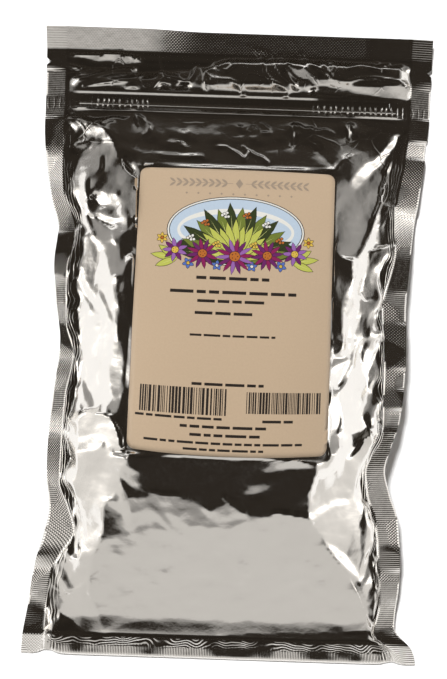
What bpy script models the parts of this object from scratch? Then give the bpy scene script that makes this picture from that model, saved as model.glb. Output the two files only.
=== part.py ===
"""A filled, heat-sealed zip pouch of metallised film, holding cut sweet flag root, with a paper label.

It lies on its back. Metres, +Z up, +X across the front, +Y towards the zip. The origin is on the
surface it rests on, in the middle of its outline.

Every film point is named by where it was on the flat, empty pouch: u across from the centre line,
v up from the bottom edge. film_point() says where that point lies on the filled pouch.
"""

import bmesh
import bpy
import numpy as np

MM = 0.001

# The flat, empty pouch
FLAT_WIDTH = 209.6 * MM
FLAT_LENGTH = 355.6 * MM
SIDE_SEAL = 11.0 * MM
BOTTOM_SEAL = 11.0 * MM
TOP_SEAL = 11.0 * MM
ZIP_LOW = 312.6 * MM
ZIP_HIGH = 323.6 * MM
NOTCH_HEIGHT = 338.5 * MM
NOTCH_DEPTH = 2.5 * MM
NOTCH_HALF_WIDTH = 1.5 * MM
FILM = 0.3 * MM
GAP = 0.3 * MM
BODY_ROWS = 34
FRONT_COLUMNS = 24
BACK_COLUMNS = 14

# The filled pouch
LENGTH = 329.0 * MM
INNER_HALF = FLAT_WIDTH / 2 - SIDE_SEAL
HEADER_HEIGHT = 4.5 * MM
HEADER_START = 260.0 * MM
BELOW_ZIP = LENGTH - (FLAT_LENGTH - ZIP_LOW)

# Profiles along the filled pouch: (mm from the bottom edge, mm)
CROWN = (
    (0, 0.9), (11, 0.9), (15, 3.5), (30, 16), (52, 34.5), (70, 47), (85, 53.5), (112, 56.5), (145, 54),
    (185, 45.5), (225, 34), (255, 22.5), (276, 11.5), (286, 6.6), (297, 6.5), (308, 6.2),
    (318, 4.5), (329, 4.5),
)
SEAM_HEIGHT = (
    (0, 0.9), (11, 0.9), (40, 12), (80, 19), (130, 21), (190, 18), (240, 12), (272, 6), (286, 4.5), (329, 4.5),
)
UNDERSIDE = (
    (0, 0.9), (11, 0.9), (24, 0.45), (255, 0.45), (286, 2.5), (297, 2.5), (308, 3.0), (318, 4.5), (329, 4.5),
)
# Half widths of the outline, and of the seam where the side seals begin, on the left and right
LEFT_EDGE = (
    (0, 104.3), (20, 102), (45, 98.5), (62, 94), (77, 91), (95, 93), (112, 92.8), (135, 91), (163, 88.3),
    (185, 91.5), (205, 93.2), (222, 91.8), (238, 96), (258, 100), (280, 101.8), (329, 102),
)
RIGHT_EDGE = (
    (0, 102.5), (8, 100), (20, 90.5), (45, 92), (75, 90), (90, 85), (102, 82), (114, 85), (130, 89.5),
    (160, 91.5), (185, 91), (215, 93), (245, 97), (270, 100), (295, 101.8), (329, 102),
)
LEFT_SEAM = (
    (0, 93.5), (8, 93), (26, 92), (44, 89), (53, 84.5), (65, 77), (78, 81), (91, 86), (114, 85.5),
    (135, 84.5), (156, 81), (173, 85.5), (199, 86.5), (222, 82.5), (244, 90), (262, 91), (286, 91), (329, 91),
)
RIGHT_SEAM = (
    (0, 92), (8, 89), (17, 79.5), (33, 82), (52, 80.5), (80, 76.5), (88, 73), (101, 71.5), (121, 80),
    (153, 80), (165, 80), (184, 78), (217, 84.5), (238, 84), (262, 88), (286, 90.5), (329, 91),
)
SEAM_SMOOTH = ((0, 92.5), (25, 86), (60, 81), (100, 79), (160, 79), (220, 81), (255, 88), (286, 91), (329, 91))

# Shape of a cross-section
CROWN_POWER = 3.0
CROWN_ROUND = 0.8
HEADER_POWER = 14.0
HEADER_ROUND = 0.5
FLAT_BACK = 0.45
BACK_POWER = 2.5
CREEP_POWER = 3.5
SEAL_DROOP = 0.35
SEAM_LIFT = 0.35
PUCKER_REACH = 6

# The label, by flat places
LABEL_WIDTH = 101.6 * MM
LABEL_LENGTH = 152.4 * MM
LABEL_CENTRE = (0.5 * MM, 200.8 * MM)
LABEL_TURN = np.radians(-0.45)
LABEL_CORNER = 4.0 * MM
LABEL_THICKNESS = 0.3 * MM
LABEL_GAP = 0.4 * MM
LABEL_COLUMNS = 12
LABEL_ROWS = 18

# The zip's two tracks, in a cross-section with its origin midway between the films
TRACK_REACH = 0.88
TRACK_HALF_WIDTH = 4.7 * MM
TRACK_OUTER = 1.7 * MM
TRACK_INNER = 1.1 * MM
RIB_HALF_WIDTH = 0.9 * MM
RIB_DEPTH = 0.8 * MM
WALL_WIDTH = 1.2 * MM

# The cut root inside, as shares of the room between the films
FILL_LOW = 34.0 * MM
FILL_HIGH = 278.0 * MM
FILL_INSET = 12.0 * MM
FILL_SQUARENESS = 0.6
FILL_FULLNESS = 0.45
FILL_BOTTOM = 0.02
FILL_TOP = 0.92
LUMP_DEPTH = 0.9 * MM
LUMP_SPACING = 26.0 * MM


def profile(points, at):
    """A smooth curve through (mm, mm) points that doesn't overshoot them, read at places in metres."""
    x, y = np.array(points, float).T * MM
    step = np.diff(x)
    slope = np.diff(y) / step
    rising = slope[:-1] * slope[1:] > 0
    safe = np.where(slope == 0, 1.0, slope)
    before, after = 2 * step[1:] + step[:-1], step[1:] + 2 * step[:-1]
    mean = (before + after) / (before / safe[:-1] + after / safe[1:])
    tangent = np.concatenate([slope[:1], np.where(rising, mean, 0.0), slope[-1:]])
    at = np.clip(at, x[0], x[-1])
    i = np.clip(np.searchsorted(x, at) - 1, 0, len(step) - 1)
    t = (at - x[i]) / step[i]
    return (
        (2 * t**3 - 3 * t**2 + 1) * y[i]
        + (t**3 - 2 * t**2 + t) * step[i] * tangent[i]
        + (3 * t**2 - 2 * t**3) * y[i + 1]
        + (t**3 - t**2) * step[i] * tangent[i + 1]
    )


def station(u, v):
    """How far up the filled pouch a flat place lies: the centre line climbs over the fill, the sides don't."""
    fine = np.linspace(0, LENGTH, 4001)
    climbed = np.concatenate([[0], np.cumsum(np.hypot(np.diff(fine), np.diff(profile(CROWN, fine))))])
    marks = [0, BOTTOM_SEAL, ZIP_LOW, FLAT_LENGTH]
    places = [0, BOTTOM_SEAL, BELOW_ZIP, LENGTH]
    side = np.interp(v, marks, places)
    middle = np.interp(np.interp(v, marks, np.interp(places, fine, climbed)), climbed, fine)
    outwards = np.clip(np.abs(u) / INNER_HALF, 0, 1) ** 2
    return middle * (1 - outwards) + side * outwards


def shoulder(across, power, rounding):
    """1 in the middle of a cross-section, 0 at its seams."""
    return (1 - np.abs(across) ** power) ** rounding


def film_point(front, u, v):
    """Where the front or back film's inner side lies at flat places u, v, as an array of points."""
    y = station(u, v)
    seam_across = np.where(u < 0, profile(LEFT_SEAM, y), profile(RIGHT_SEAM, y))
    half = profile(SEAM_SMOOTH, y)
    pinch = half - seam_across
    share = np.clip(u / INNER_HALF, -1, 1)
    slack = INNER_HALF / half
    across = share * (slack - (slack - 1) * np.abs(share) ** CREEP_POWER)
    x = half * across - np.sign(u) * pinch * np.abs(across) ** PUCKER_REACH

    puckered = np.clip(y / BOTTOM_SEAL - 1, 0, 1) * np.clip((BELOW_ZIP - y) / HEADER_HEIGHT, 0, 1)
    seam = np.maximum(profile(SEAM_HEIGHT, y) + SEAM_LIFT * pinch * puckered, profile(SEAM_HEIGHT, 0.0))

    header = np.clip((y - HEADER_START) / (BELOW_ZIP - HEADER_START), 0, 1)
    header_shape = shoulder(across, HEADER_POWER, HEADER_ROUND)
    if front:
        middle = profile(CROWN, y)
        body_shape = shoulder(across, CROWN_POWER, CROWN_ROUND)
    else:
        middle = profile(UNDERSIDE, y)
        body_shape = 1 - np.clip((np.abs(across) - FLAT_BACK) / (1 - FLAT_BACK), 0, 1) ** BACK_POWER
    z = seam + (middle - seam) * (body_shape * (1 - header) + header_shape * header)

    sealed = np.clip((np.abs(u) - INNER_HALF) / SIDE_SEAL, 0, 1)
    edge = np.where(u < 0, profile(LEFT_EDGE, y), profile(RIGHT_EDGE, y))
    x = x + np.sign(u) * sealed * (edge - seam_across)
    z = z - sealed * SEAL_DROOP * np.maximum(seam - HEADER_HEIGHT, 0)
    return np.stack([x + middle_shift(), y - LENGTH / 2, z], -1)


def middle_shift():
    """What moves the middle of the outline's width to x = 0."""
    widest_left, widest_right = np.max(LEFT_EDGE, 0)[1], np.max(RIGHT_EDGE, 0)[1]
    return (widest_left - widest_right) / 2 * MM


def even_steps(stops, counts):
    """Places along a line of stops, with each stretch cut into its own count of equal steps."""
    places = [stops[0]]
    for start, end, count in zip(stops, stops[1:], counts):
        places += [start + (end - start) * (i + 1) / count for i in range(count)]
    return np.array(places)


def make_material(name, colour, roughness, metallic=0.0):
    material = bpy.data.materials.new(name)
    material.use_nodes = True
    shader = material.node_tree.nodes["Principled BSDF"]
    shader.inputs["Base Color"].default_value = (*colour, 1)
    shader.inputs["Roughness"].default_value = roughness
    shader.inputs["Metallic"].default_value = metallic
    return material


def add_object(name, data, material, collection):
    data.materials.append(material)
    made = bpy.data.objects.new(name, data)
    collection.objects.link(made)
    return made


def grid_mesh(name, columns, rows, place, facing_up=True):
    """A grid primitive whose vertex at column i, row j goes to place(i, j)."""
    bm = bmesh.new()
    bmesh.ops.create_grid(bm, x_segments=columns, y_segments=rows, size=0.5)
    corners = np.array([vertex.co for vertex in bm.verts])
    column = np.rint((corners[:, 0] + 0.5) * columns).astype(int)
    row = np.rint((corners[:, 1] + 0.5) * rows).astype(int)
    for vertex, point in zip(bm.verts, place(column, row)):
        vertex.co = point
    if not facing_up:
        bmesh.ops.reverse_faces(bm, faces=bm.faces)
    mesh = bpy.data.meshes.new(name)
    bm.to_mesh(mesh)
    bm.free()
    mesh.shade_smooth()
    return mesh


def make_skin(sheet, height, thickness):
    """Turn an open sheet into a skin that starts this high above it, on the side that it faces."""
    lift = sheet.modifiers.new("lift", "DISPLACE")
    lift.direction = "NORMAL"
    lift.mid_level = 0
    lift.strength = height
    solid = sheet.modifiers.new("thickness", "SOLIDIFY")
    solid.thickness = thickness
    solid.offset = 1


def make_panel(name, front, columns, collection):
    """One film of the pouch, with a V-shaped tear notch in each side seal."""
    across = even_steps([-FLAT_WIDTH / 2, -INNER_HALF, INNER_HALF, FLAT_WIDTH / 2], [1, columns, 1])
    notch = [NOTCH_HEIGHT - NOTCH_HALF_WIDTH, NOTCH_HEIGHT, NOTCH_HEIGHT + NOTCH_HALF_WIDTH]
    stops = [0, BOTTOM_SEAL, ZIP_LOW, ZIP_HIGH, *notch, FLAT_LENGTH - TOP_SEAL, FLAT_LENGTH]
    up = even_steps(stops, [1, BODY_ROWS, 2, 2, 1, 1, 1, 1])

    def place(column, row):
        u, v = across[column], up[row]
        outermost = np.abs(u) > FLAT_WIDTH / 2 - NOTCH_DEPTH
        notched = outermost & np.isclose(v, NOTCH_HEIGHT)
        return film_point(front, np.where(notched, u - np.sign(u) * NOTCH_DEPTH, u), v)

    mesh = grid_mesh(name, len(across) - 1, len(up) - 1, place, facing_up=front)
    foil = make_material(name + "_foil", (0.66, 0.63, 0.59), 0.15, metallic=1.0)
    panel = add_object(name, mesh, foil, collection)
    make_skin(panel, GAP / 2, FILM)


def make_label(collection):
    """A paper label with round corners, on the front film and bent with it."""
    arc = np.radians([90, 60, 30])
    end_rows = LABEL_LENGTH / 2 - LABEL_CORNER + LABEL_CORNER * np.sin(arc)
    middle_rows = np.linspace(-1, 1, LABEL_ROWS) * (LABEL_LENGTH / 2 - LABEL_CORNER)
    up = np.concatenate([-end_rows, middle_rows, end_rows[::-1]])
    past = np.clip(np.abs(up) - (LABEL_LENGTH / 2 - LABEL_CORNER), 0, LABEL_CORNER)
    half_width = LABEL_WIDTH / 2 - LABEL_CORNER + np.sqrt(LABEL_CORNER**2 - past**2)

    def place(column, row):
        a = (column / LABEL_COLUMNS * 2 - 1) * half_width[row]
        b = up[row]
        u = LABEL_CENTRE[0] + a * np.cos(LABEL_TURN) - b * np.sin(LABEL_TURN)
        v = LABEL_CENTRE[1] + a * np.sin(LABEL_TURN) + b * np.cos(LABEL_TURN)
        return film_point(True, u, v)

    mesh = grid_mesh("label", LABEL_COLUMNS, len(up) - 1, place)
    label = add_object("label", mesh, make_material("label_paper", (0.60, 0.46, 0.31), 0.55), collection)
    make_skin(label, GAP / 2 + FILM + LABEL_GAP, LABEL_THICKNESS)


def make_track(name, outline, collection):
    """A straight strip inside the pouch, along the zip, from its cross-section."""
    curve = bpy.data.curves.new(name, "CURVE")
    curve.dimensions = "2D"
    curve.fill_mode = "BOTH"
    zip_middle = station(0.0, (ZIP_LOW + ZIP_HIGH) / 2)
    half_seams = (profile(LEFT_SEAM, zip_middle) + profile(RIGHT_SEAM, zip_middle)) / 2
    curve.extrude = TRACK_REACH * float(half_seams)
    spline = curve.splines.new("POLY")
    spline.points.add(len(outline) - 1)
    for point, (y, z) in zip(spline.points, outline):
        point.co = (y, z, 0, 1)
    spline.use_cyclic_u = True
    track = add_object(name, curve, make_material(name + "_plastic", (0.75, 0.75, 0.72), 0.4), collection)
    track.location = (middle_shift(), float(zip_middle) - LENGTH / 2, HEADER_HEIGHT)
    track.rotation_euler = (np.pi / 2, 0, np.pi / 2)


def make_zip(collection):
    """A strip with a rib on the front film, and one with a groove that the rib sits in on the back film."""
    rib, half = RIB_HALF_WIDTH, TRACK_HALF_WIDTH
    near, far = rib + GAP, rib + GAP + WALL_WIDTH
    ridge = [(rib, -RIB_DEPTH), (rib, TRACK_INNER), (half, TRACK_INNER), (half, TRACK_OUTER)]
    groove = [
        (near, -TRACK_INNER), (near, RIB_DEPTH), (far, RIB_DEPTH), (far, -TRACK_INNER),
        (half, -TRACK_INNER), (half, -TRACK_OUTER),
    ]
    for name, side in (("zip_ridge_strip", ridge), ("zip_groove_strip", groove)):
        make_track(name, side + [(-y, z) for y, z in reversed(side)], collection)


def make_filling(collection):
    """The cut root: a lumpy cushion shape, from a sphere spread out into the room between the films."""
    bm = bmesh.new()
    bmesh.ops.create_uvsphere(bm, u_segments=28, v_segments=16, radius=1)
    ball = np.array([vertex.co for vertex in bm.verts])
    plan = np.sign(ball[:, :2]) * np.abs(ball[:, :2]) ** FILL_SQUARENESS
    u = plan[:, 0] * (INNER_HALF - FILL_INSET)
    v = (FILL_LOW + FILL_HIGH) / 2 + plan[:, 1] * (FILL_HIGH - FILL_LOW) / 2
    fullness = np.sign(ball[:, 2]) * np.abs(ball[:, 2]) ** FILL_FULLNESS
    share = FILL_BOTTOM + (FILL_TOP - FILL_BOTTOM) * (fullness + 1) / 2
    low, high = film_point(False, u, v), film_point(True, u, v)
    points = low + (high - low) * share[:, None]
    wave = 2 * np.pi / LUMP_SPACING
    points[:, 2] -= LUMP_DEPTH * np.maximum(fullness, 0) * (1 + np.sin(wave * u) * np.cos(wave * v))
    for vertex, point in zip(bm.verts, points):
        vertex.co = point
    mesh = bpy.data.meshes.new("root_filling")
    bm.to_mesh(mesh)
    bm.free()
    mesh.shade_smooth()
    add_object("root_filling", mesh, make_material("cut_root", (0.42, 0.30, 0.18), 0.9), collection)


def main():
    for old in list(bpy.data.objects):
        bpy.data.objects.remove(old, do_unlink=True)
    collection = bpy.data.collections.new("sweet_flag_root_pouch")
    bpy.context.scene.collection.children.link(collection)
    make_panel("front_panel", True, FRONT_COLUMNS, collection)
    make_panel("back_panel", False, BACK_COLUMNS, collection)
    make_zip(collection)
    make_label(collection)
    make_filling(collection)


main()
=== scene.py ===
"""The looks of a filled foil zip pouch with a paper label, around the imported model.

The film is worked out in millimetres, in the pouch's own flat coordinates: u across from the centre
line, v up from the bottom edge of the empty pouch. A sheet solver bends it over the fill without
stretching it, and the seals, folds, dents and lumps are then added where the pouch has them. Everything
is turned to metres on its way into a mesh.
"""

import math

import bmesh
import bpy
import numpy as np
from mathutils import Matrix, Vector
from mathutils.geometry import delaunay_2d_cdt


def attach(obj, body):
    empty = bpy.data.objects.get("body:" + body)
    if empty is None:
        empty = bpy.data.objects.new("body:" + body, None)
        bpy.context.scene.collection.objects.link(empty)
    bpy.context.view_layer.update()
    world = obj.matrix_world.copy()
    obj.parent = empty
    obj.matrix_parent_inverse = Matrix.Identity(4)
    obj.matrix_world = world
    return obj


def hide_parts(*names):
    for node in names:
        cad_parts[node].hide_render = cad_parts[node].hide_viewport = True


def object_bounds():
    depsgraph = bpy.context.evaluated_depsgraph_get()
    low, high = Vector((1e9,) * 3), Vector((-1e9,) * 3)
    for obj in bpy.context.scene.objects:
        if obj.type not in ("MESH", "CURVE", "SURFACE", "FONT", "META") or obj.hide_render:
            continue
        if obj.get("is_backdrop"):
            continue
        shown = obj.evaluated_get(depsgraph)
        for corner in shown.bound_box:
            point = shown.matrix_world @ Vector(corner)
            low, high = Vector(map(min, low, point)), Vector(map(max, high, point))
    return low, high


MM = 0.001

# The flat, empty pouch, in millimetres
FLAT_WIDTH = 209.6
FLAT_LENGTH = 355.6
SEAL = 11.0
ZIP_LOW = 312.6
ZIP_HIGH = 323.6
NOTCH_HEIGHT = 338.5
NOTCH_DEPTH = 2.5
NOTCH_HALF_WIDTH = 1.8
INNER_HALF = FLAT_WIDTH / 2 - SEAL

# The filled pouch, in millimetres
LENGTH = 329.0
HEADER_HEIGHT = 4.5
HEADER_START = 260.0
BELOW_ZIP = LENGTH - (FLAT_LENGTH - ZIP_LOW)
CROWN = (
    (0, 0.9), (11, 0.9), (15, 3.5), (30, 16), (52, 34.5), (70, 47), (85, 53.5), (112, 56.5), (145, 54),
    (185, 45.5), (225, 34), (255, 22.5), (276, 11.5), (286, 6.6), (297, 6.5), (308, 6.2),
    (318, 4.5), (329, 4.5),
)
SEAM_HEIGHT = (
    (0, 0.9), (11, 0.9), (40, 12), (80, 19), (130, 21), (190, 18), (240, 12), (272, 6), (286, 4.5),
    (329, 4.5),
)
UNDERSIDE = (
    (0, 0.9), (11, 0.9), (24, 0.45), (255, 0.45), (286, 2.5), (297, 2.5), (308, 3.0), (318, 4.5), (329, 4.5),
)
LEFT_EDGE = (
    (0, 104.3), (20, 102), (45, 98.5), (62, 94), (77, 91), (95, 93), (112, 92.8), (135, 91), (163, 88.3),
    (185, 91.5), (205, 93.2), (222, 91.8), (238, 96), (258, 100), (280, 101.8), (329, 102),
)
RIGHT_EDGE = (
    (0, 102.5), (8, 100), (20, 90.5), (45, 92), (75, 90), (90, 85), (102, 82), (114, 85), (130, 89.5),
    (160, 91.5), (185, 91), (215, 93), (245, 97), (270, 100), (295, 101.8), (329, 102),
)
LEFT_SEAM = (
    (0, 93.5), (8, 93), (26, 92), (44, 89), (53, 84.5), (65, 77), (78, 81), (91, 86), (114, 85.5),
    (135, 84.5), (156, 81), (173, 85.5), (199, 86.5), (222, 82.5), (244, 90), (262, 91), (286, 91), (329, 91),
)
RIGHT_SEAM = (
    (0, 92), (8, 89), (17, 79.5), (33, 82), (52, 80.5), (80, 76.5), (88, 73), (101, 71.5), (121, 80),
    (153, 80), (165, 80), (184, 78), (217, 84.5), (238, 84), (262, 88), (286, 90.5), (329, 91),
)
SEAM_SMOOTH = (
    (0, 92.5), (25, 86), (60, 81), (100, 79), (160, 79), (220, 81), (255, 88), (286, 91), (329, 91),
)
MIDDLE_SHIFT = (104.3 - 102.5) / 2
CROWN_POWER = 3.0
CROWN_ROUND = 0.8
CROWN_SAMPLES = 4001
HEADER_POWER = 14.0
HEADER_ROUND = 1.0
FLAT_BACK = 0.45
BACK_POWER = 2.5
CREEP_POWER = 3.5
SEAM_LIFT = 0.35
PUCKER_REACH = 6

# The label, by flat places in millimetres
LABEL_WIDTH = 101.6
LABEL_LENGTH = 152.4
LABEL_CENTRE = (0.5, 200.8)
LABEL_TURN = math.radians(-0.45)
LABEL_CORNER = 4.0
LABEL_THICKNESS = 0.2
LABEL_LIFT = 0.45
LABEL_CELL = 3.0
LABEL_MARGIN = 0.01
LABEL_MERGE = 1e-4
LABEL_BLUR = 3

# The camera, 1 m above the pouch and a little towards its bottom edge
CAMERA_DISTANCE = 1.0
CAMERA_ELEVATION = math.radians(87.5)
CAMERA_ROLL = math.radians(1.9)
CAMERA_TARGET = (-0.0027, 0.0031, 0.0)
CAMERA_LENS = 100.4
CAMERA_SENSOR = 36

# Grids of the film solver, coarse to fine, in millimetres
SOLVER_GRIDS = (
    {"step": 7.0, "steps": 500, "bend": 0.28, "radius": 20.0, "press": 0.02, "noise": 0.4},
    {"step": 3.5, "steps": 250, "bend": 0.25, "radius": 15.0, "press": 0.01, "noise": 0.1},
    {"step": 1.75, "steps": 120, "bend": 0.2, "radius": 12.0, "press": 0.005, "noise": 0.03},
)
SOLVER_SEED = 3
LAYER_GAP = 0.5
TARGET_PULL = 0.1
SEAL_DRIFT = 0.05
SEAL_STIFFNESS = 1.4
SHEAR = 0.6
TINY = 1e-6
NEVER_ZERO = 1e-12

# The film's mesh: the steps across, and up each stretch between these flat places
MESH_ACROSS = 0.98
MESH_STOPS = (0, SEAL, 282, ZIP_LOW, ZIP_HIGH, FLAT_LENGTH - SEAL, FLAT_LENGTH)
MESH_UP = (1.0, 0.95, 0.8, 0.6, 0.75, 0.9)
BACK_COLUMNS = 4
BACK_ROWS = 2
HEM_ANGLE = math.radians(70)
FACING_BLUR = 2

# Where the side seals are pinched, up the flat pouch, and how steeply they fall outwards along it, in degrees
LEFT_PINCHES = (12, 51, 61, 77, 101.5, 127, 171.5, 189, 217, 242.6, 266.6, 300)
RIGHT_PINCHES = (11, 22.5, 41, 60.5, 91.5, 116, 136, 150.5, 163.5, 183.6, 202, 239.6, 263, 300)
LEFT_FALL = (
    (0, 10), (11, 18), (16, 24), (29, 24), (33, 20), (42, 22), (45, 28), (48, 18), (52, 12), (58, 24),
    (72, 23), (86, 24), (90, 25), (95, 21), (105, 16), (113, 20), (116, 29), (122, 28), (126, 23), (143, 24),
    (147, 19), (151, 20), (154, 27), (158, 22), (161, 16), (172, 16), (175, 22), (192, 25), (196, 27),
    (199, 10), (219, 8), (222, 20), (230, 23), (240, 26), (250, 36), (258, 34), (264, 20), (268, 12),
    (281, 12), (284, 20), (293, 19), (297, 26), (306, 26), (309, 8), (329, 4),
)
RIGHT_FALL = (
    (0, 10), (8, 20), (18, 22), (29, 24), (34, 21), (48, 20), (52, 12), (60, 12), (64, 22), (78, 23),
    (95, 24), (100, 23), (105, 20), (119, 19), (122, 14), (126, 23), (132, 24), (135, 10), (142, 12),
    (146, 22), (153, 22), (156, 12), (176, 12), (180, 21), (192, 22), (196, 17), (211, 17), (215, 21),
    (222, 26), (230, 36), (236, 34), (240, 24), (252, 20), (260, 14), (265, 12), (267, 36), (273, 36),
    (276, 16), (286, 14), (290, 27), (301, 27), (304, 16), (308, 10), (329, 8),
)
SPINDLE_WIDTH = 8.0
SPINDLE_ROUND = 0.7

# Where the film follows the solver, in millimetres in from the seams, up the flat pouch, or off the label
SOLVED_IN = (0, 9)
SOLVED_LOW = (SEAL, 30)
SOLVED_HIGH = (290, 308)
SOLVED_CALMER = (225, 270)
CALMING = 0.7
LABEL_EASE = (0.5, 5)
HELD_BY_LABEL = 1.2
HELD_BY_ZIP = 6
HELD_BY_SEAL = 0.5

# Lumps of the filling under the film: how wide, how high, and where they show
LUMPS = ((11.0, 0.13), (5.5, 0.035))
LUMP_POINTS = 8
LUMP_BLUR = 2
LUMPS_IN = (2, 12)
LUMPS_LOW = (SEAL, 40)
LUMPS_HIGH = (300, 312)
LUMPS_UNDER_LABEL = 0.2
BACK_LUMPS = 2
BACK_SEED = 20

# The crumple beside the zip
CRUMPLE = 0.7
CRUMPLE_SIZE = 40
CRUMPLE_SEED = 7
CRUMPLE_BANDS = 1.2
CRUMPLE_IN = (0, 8)
CRUMPLED_HEADER = (325, 333, 338, 344)
CRUMPLED_SHOULDER = (284, 296, 306, 312)
SHOULDER_CRUMPLE = 0.5
SHOULDER_CREASE_LOSS = 0.4
CREASE_IN = (0, 1.5)

# The zip: a step up into the header, lower at its right end, and two ridges
ZIP_STEP = 1.4
ZIP_STEP_WIDTH = 1.8
ZIP_STEP_START = 2.4
ZIP_STEP_FADE = (ZIP_HIGH + 1, ZIP_HIGH + 14)
ZIP_IN = (-0.5, 9)
ZIP_LOW_END = (38, 48)
ZIP_LOW_LOSS = 0.7
ZIP_RIDGES = ((313.9, 1.2), (316.4, 0.8))

# The header puffed up above the zip, and the top seal curled up at its left end
HEADER_PUFF = 4.4
PUFF_FROM_ZIP = (ZIP_HIGH, ZIP_HIGH + 6)
PUFF_FROM_SEAL = (0.5, 6)
PUFF_IN = (0, 8)
TOP_CURL = 0.72
CURL_FADE = (-52, -18)
CURL_LOSS = 0.64

# The bottom seal: its turned-down lip, its crushed rise, and the lifted ears at its corners
SEAL_LIP = 0.9
LIP_WIDTH = 1.4
LIP_ENDS = (86, 92)
BOTTOM_RISE = 2.2
BOTTOM_EASE = 14
EAR_LIFT = 5.5
EAR_ACROSS = (89, 94)
EAR_TOP = 36
DENT_ACROSS = 91
DENT_WIDTH = 4.5
LEFT_DENT = 2.4
RIGHT_DENT = 1.6

# Clear gaps: between the films, over the pressed filling, and over the floor
FILM_GAP = 0.25
HEADER_GAP = 0.9
PRESS_REACH = 7.0
PRESS_GAP = 1.5
FLOOR_CLEARANCE = 0.3

# The seals' embossing, in millimetres: ribs at the top seal's right end and in the side seals beside the zip,
# wavy crushed ribs in the bottom seal, and little at the top seal's left end
HATCH_PITCH = 1.6
RIB_PITCH = 1.15
BOTTOM_RIB_PITCH = 1.7
EMBOSSING = 0.12
BEFORE_SEAL = 0.3
PAST_SEAL = 0.5
RIBBED_TOP = (66, 74)
RIBBED_SIDE = (306, 309)
RIBBED_NOISE = (0.48, 0.54)
CRUSHED_UP = (4.5, 7.5)
CRUSHED_PITCH = 1.6
CRUSHED_WANDER = 14.0
CRUSHED_NOISE = (0.36, 0.6)
CRUSHED_DEPTH = (0.8, 3.2)
SMOOTH_TOP = (-28, -48)
SMOOTH_SHARE = 0.12

# The film's finest relief, in millimetres: nets of creases (cell, width, two noise levels between which a net
# fades in, depth), strands beside the side seams, ticks across the zip, and dimples all over
CREASE_NETS = ((17, 0.7, 0.5, 0.56, 0.13), (6, 0.5, 0.54, 0.62, 0.05))
CREASED_HEADER = (ZIP_HIGH, ZIP_HIGH + 2, 342, 344)
CREASED_SHOULDER = (280, 292, ZIP_LOW - 2, ZIP_LOW)
STRAND_PITCH = 1.9
STRAND_SHARPNESS = 3.0
STRAND_WANDER = 5.0
STRAND_DEPTH = 0.16
STRANDS_OUT = (INNER_HALF - 8, INNER_HALF - 5, INNER_HALF - 1, INNER_HALF)
STRANDS_UP = (14, 24, 280, 290)
TICK_PITCH = 3.1
TICK_SHARPNESS = 6.0
TICK_WANDER = 3.0
TICK_DEPTH = 0.3
TICKS_UP = (313.6, 314.2, 318.2, 320.2)
LEFT_TICKS = (-80, -76, -50, -44)
RIGHT_TICKS = (34, 44, 88, 92)
FAINT_TICKS = 0.15
DIMPLE_DEPTH = 0.1

# Tints and roughness between which each material wanders, and depths in millimetres
FOIL_TINTS = ((0.80, 0.775, 0.74), (0.75, 0.725, 0.69))
FOIL_ROUGHNESS = (0.12, 0.19)
PAPER_ROUGHNESS = 0.45
PAPER_GRAIN = 0.02
PLASTIC_TINTS = ((0.70, 0.70, 0.67), (0.80, 0.80, 0.78))
PLASTIC_ROUGHNESS = (0.32, 0.45)
ROOT_TINTS = ((0.30, 0.19, 0.10), (0.52, 0.40, 0.26))
ROOT_FIBRE = (0.40, 0.28, 0.17)
CHIP_DEPTH = 2.0
FIBRE_DEPTH = 0.3
FLOOR_TINTS = ((0.93, 0.93, 0.93), (0.96, 0.96, 0.96))
MATT = 0.9

# Thin creases of the front film, seen from above: the points x, y of each bent line in millimetres, placed
# and turned into half millimetres in the same way as the facets' corners
CREASES = (
    (-83, 137.5, -77.5, 139.5, -70.5, 142, -65, 143.5, -56.5, 144, -50.5, 145.5),
    (-80.5, 134, -73.5, 135.5, -64.5, 137, -57.5, 137.5, -53, 139.5, -48.5, 142, -45.5, 144.5, -42.5, 146),
    (-40, 143, -37, 141, -31.5, 140, -27, 138, -25, 139, -23, 142.5, -21.5, 147),
    (-16, 134, -17, 139.5, -17, 144, -13, 145.5, -8.5, 147),
    (-16.5, 143, -13.5, 140, -9, 139.5, -4, 139.5, 0.5, 137, 3.5, 132.5),
    (9.5, 156.5, 11.5, 152.5, 13.5, 148, 14.5, 143.5, 18, 139.5, 24, 136.5, 27, 134.5, 26, 132.5),
    (12.5, 156.5, 17, 153.5, 20, 148.5, 23.5, 143, 28, 139, 31.5, 136),
    (22.5, 153.5, 22, 149.5, 26, 143.5, 30.5, 138),
    (33, 155, 36, 150.5, 41.5, 147.5, 46.5, 145, 49.5, 142.5),
    (44, 151.5, 46.5, 147, 49, 144, 51, 147, 50.5, 151, 48, 151.5),
    (58.5, 140.5, 64.5, 142.5, 73, 143, 80.5, 142, 89, 140.5),
    (4, 103.5, 8, 100, 14, 97.5, 17, 95),
    (-9, 103, -5, 103, 0.5, 100, 5, 96, 8.5, 100.5),
    (-50.5, 118, -45, 113, -45, 110.5, -47.5, 108.5),
    (-49, 117.5, -49.5, 114.5, -45.5, 111.5),
    (13.5, 117, 17, 114.5, 18, 111.5, 14.5, 111.5),
    (33.5, 116, 36.5, 114, 39.5, 115, 42, 113.5, 47.5, 114.5, 51.5, 113),
    (-92.5, 139.5, -85.5, 141, -76.5, 142.5, -69.5, 144.5),
    (-12.5, 149.5, -11.5, 146, -6, 144, -2, 147.5),
    (-69.5, 115.5, -65.5, 117.5, -61, 117),
    (73, 152.5, 77.5, 150.5, 81.5, 152),
    (58.5, 147.5, 65.5, 150, 75, 147),
)
CREASE_WIDTH = 1.5
CREASE_RISE = 1.1

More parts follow.
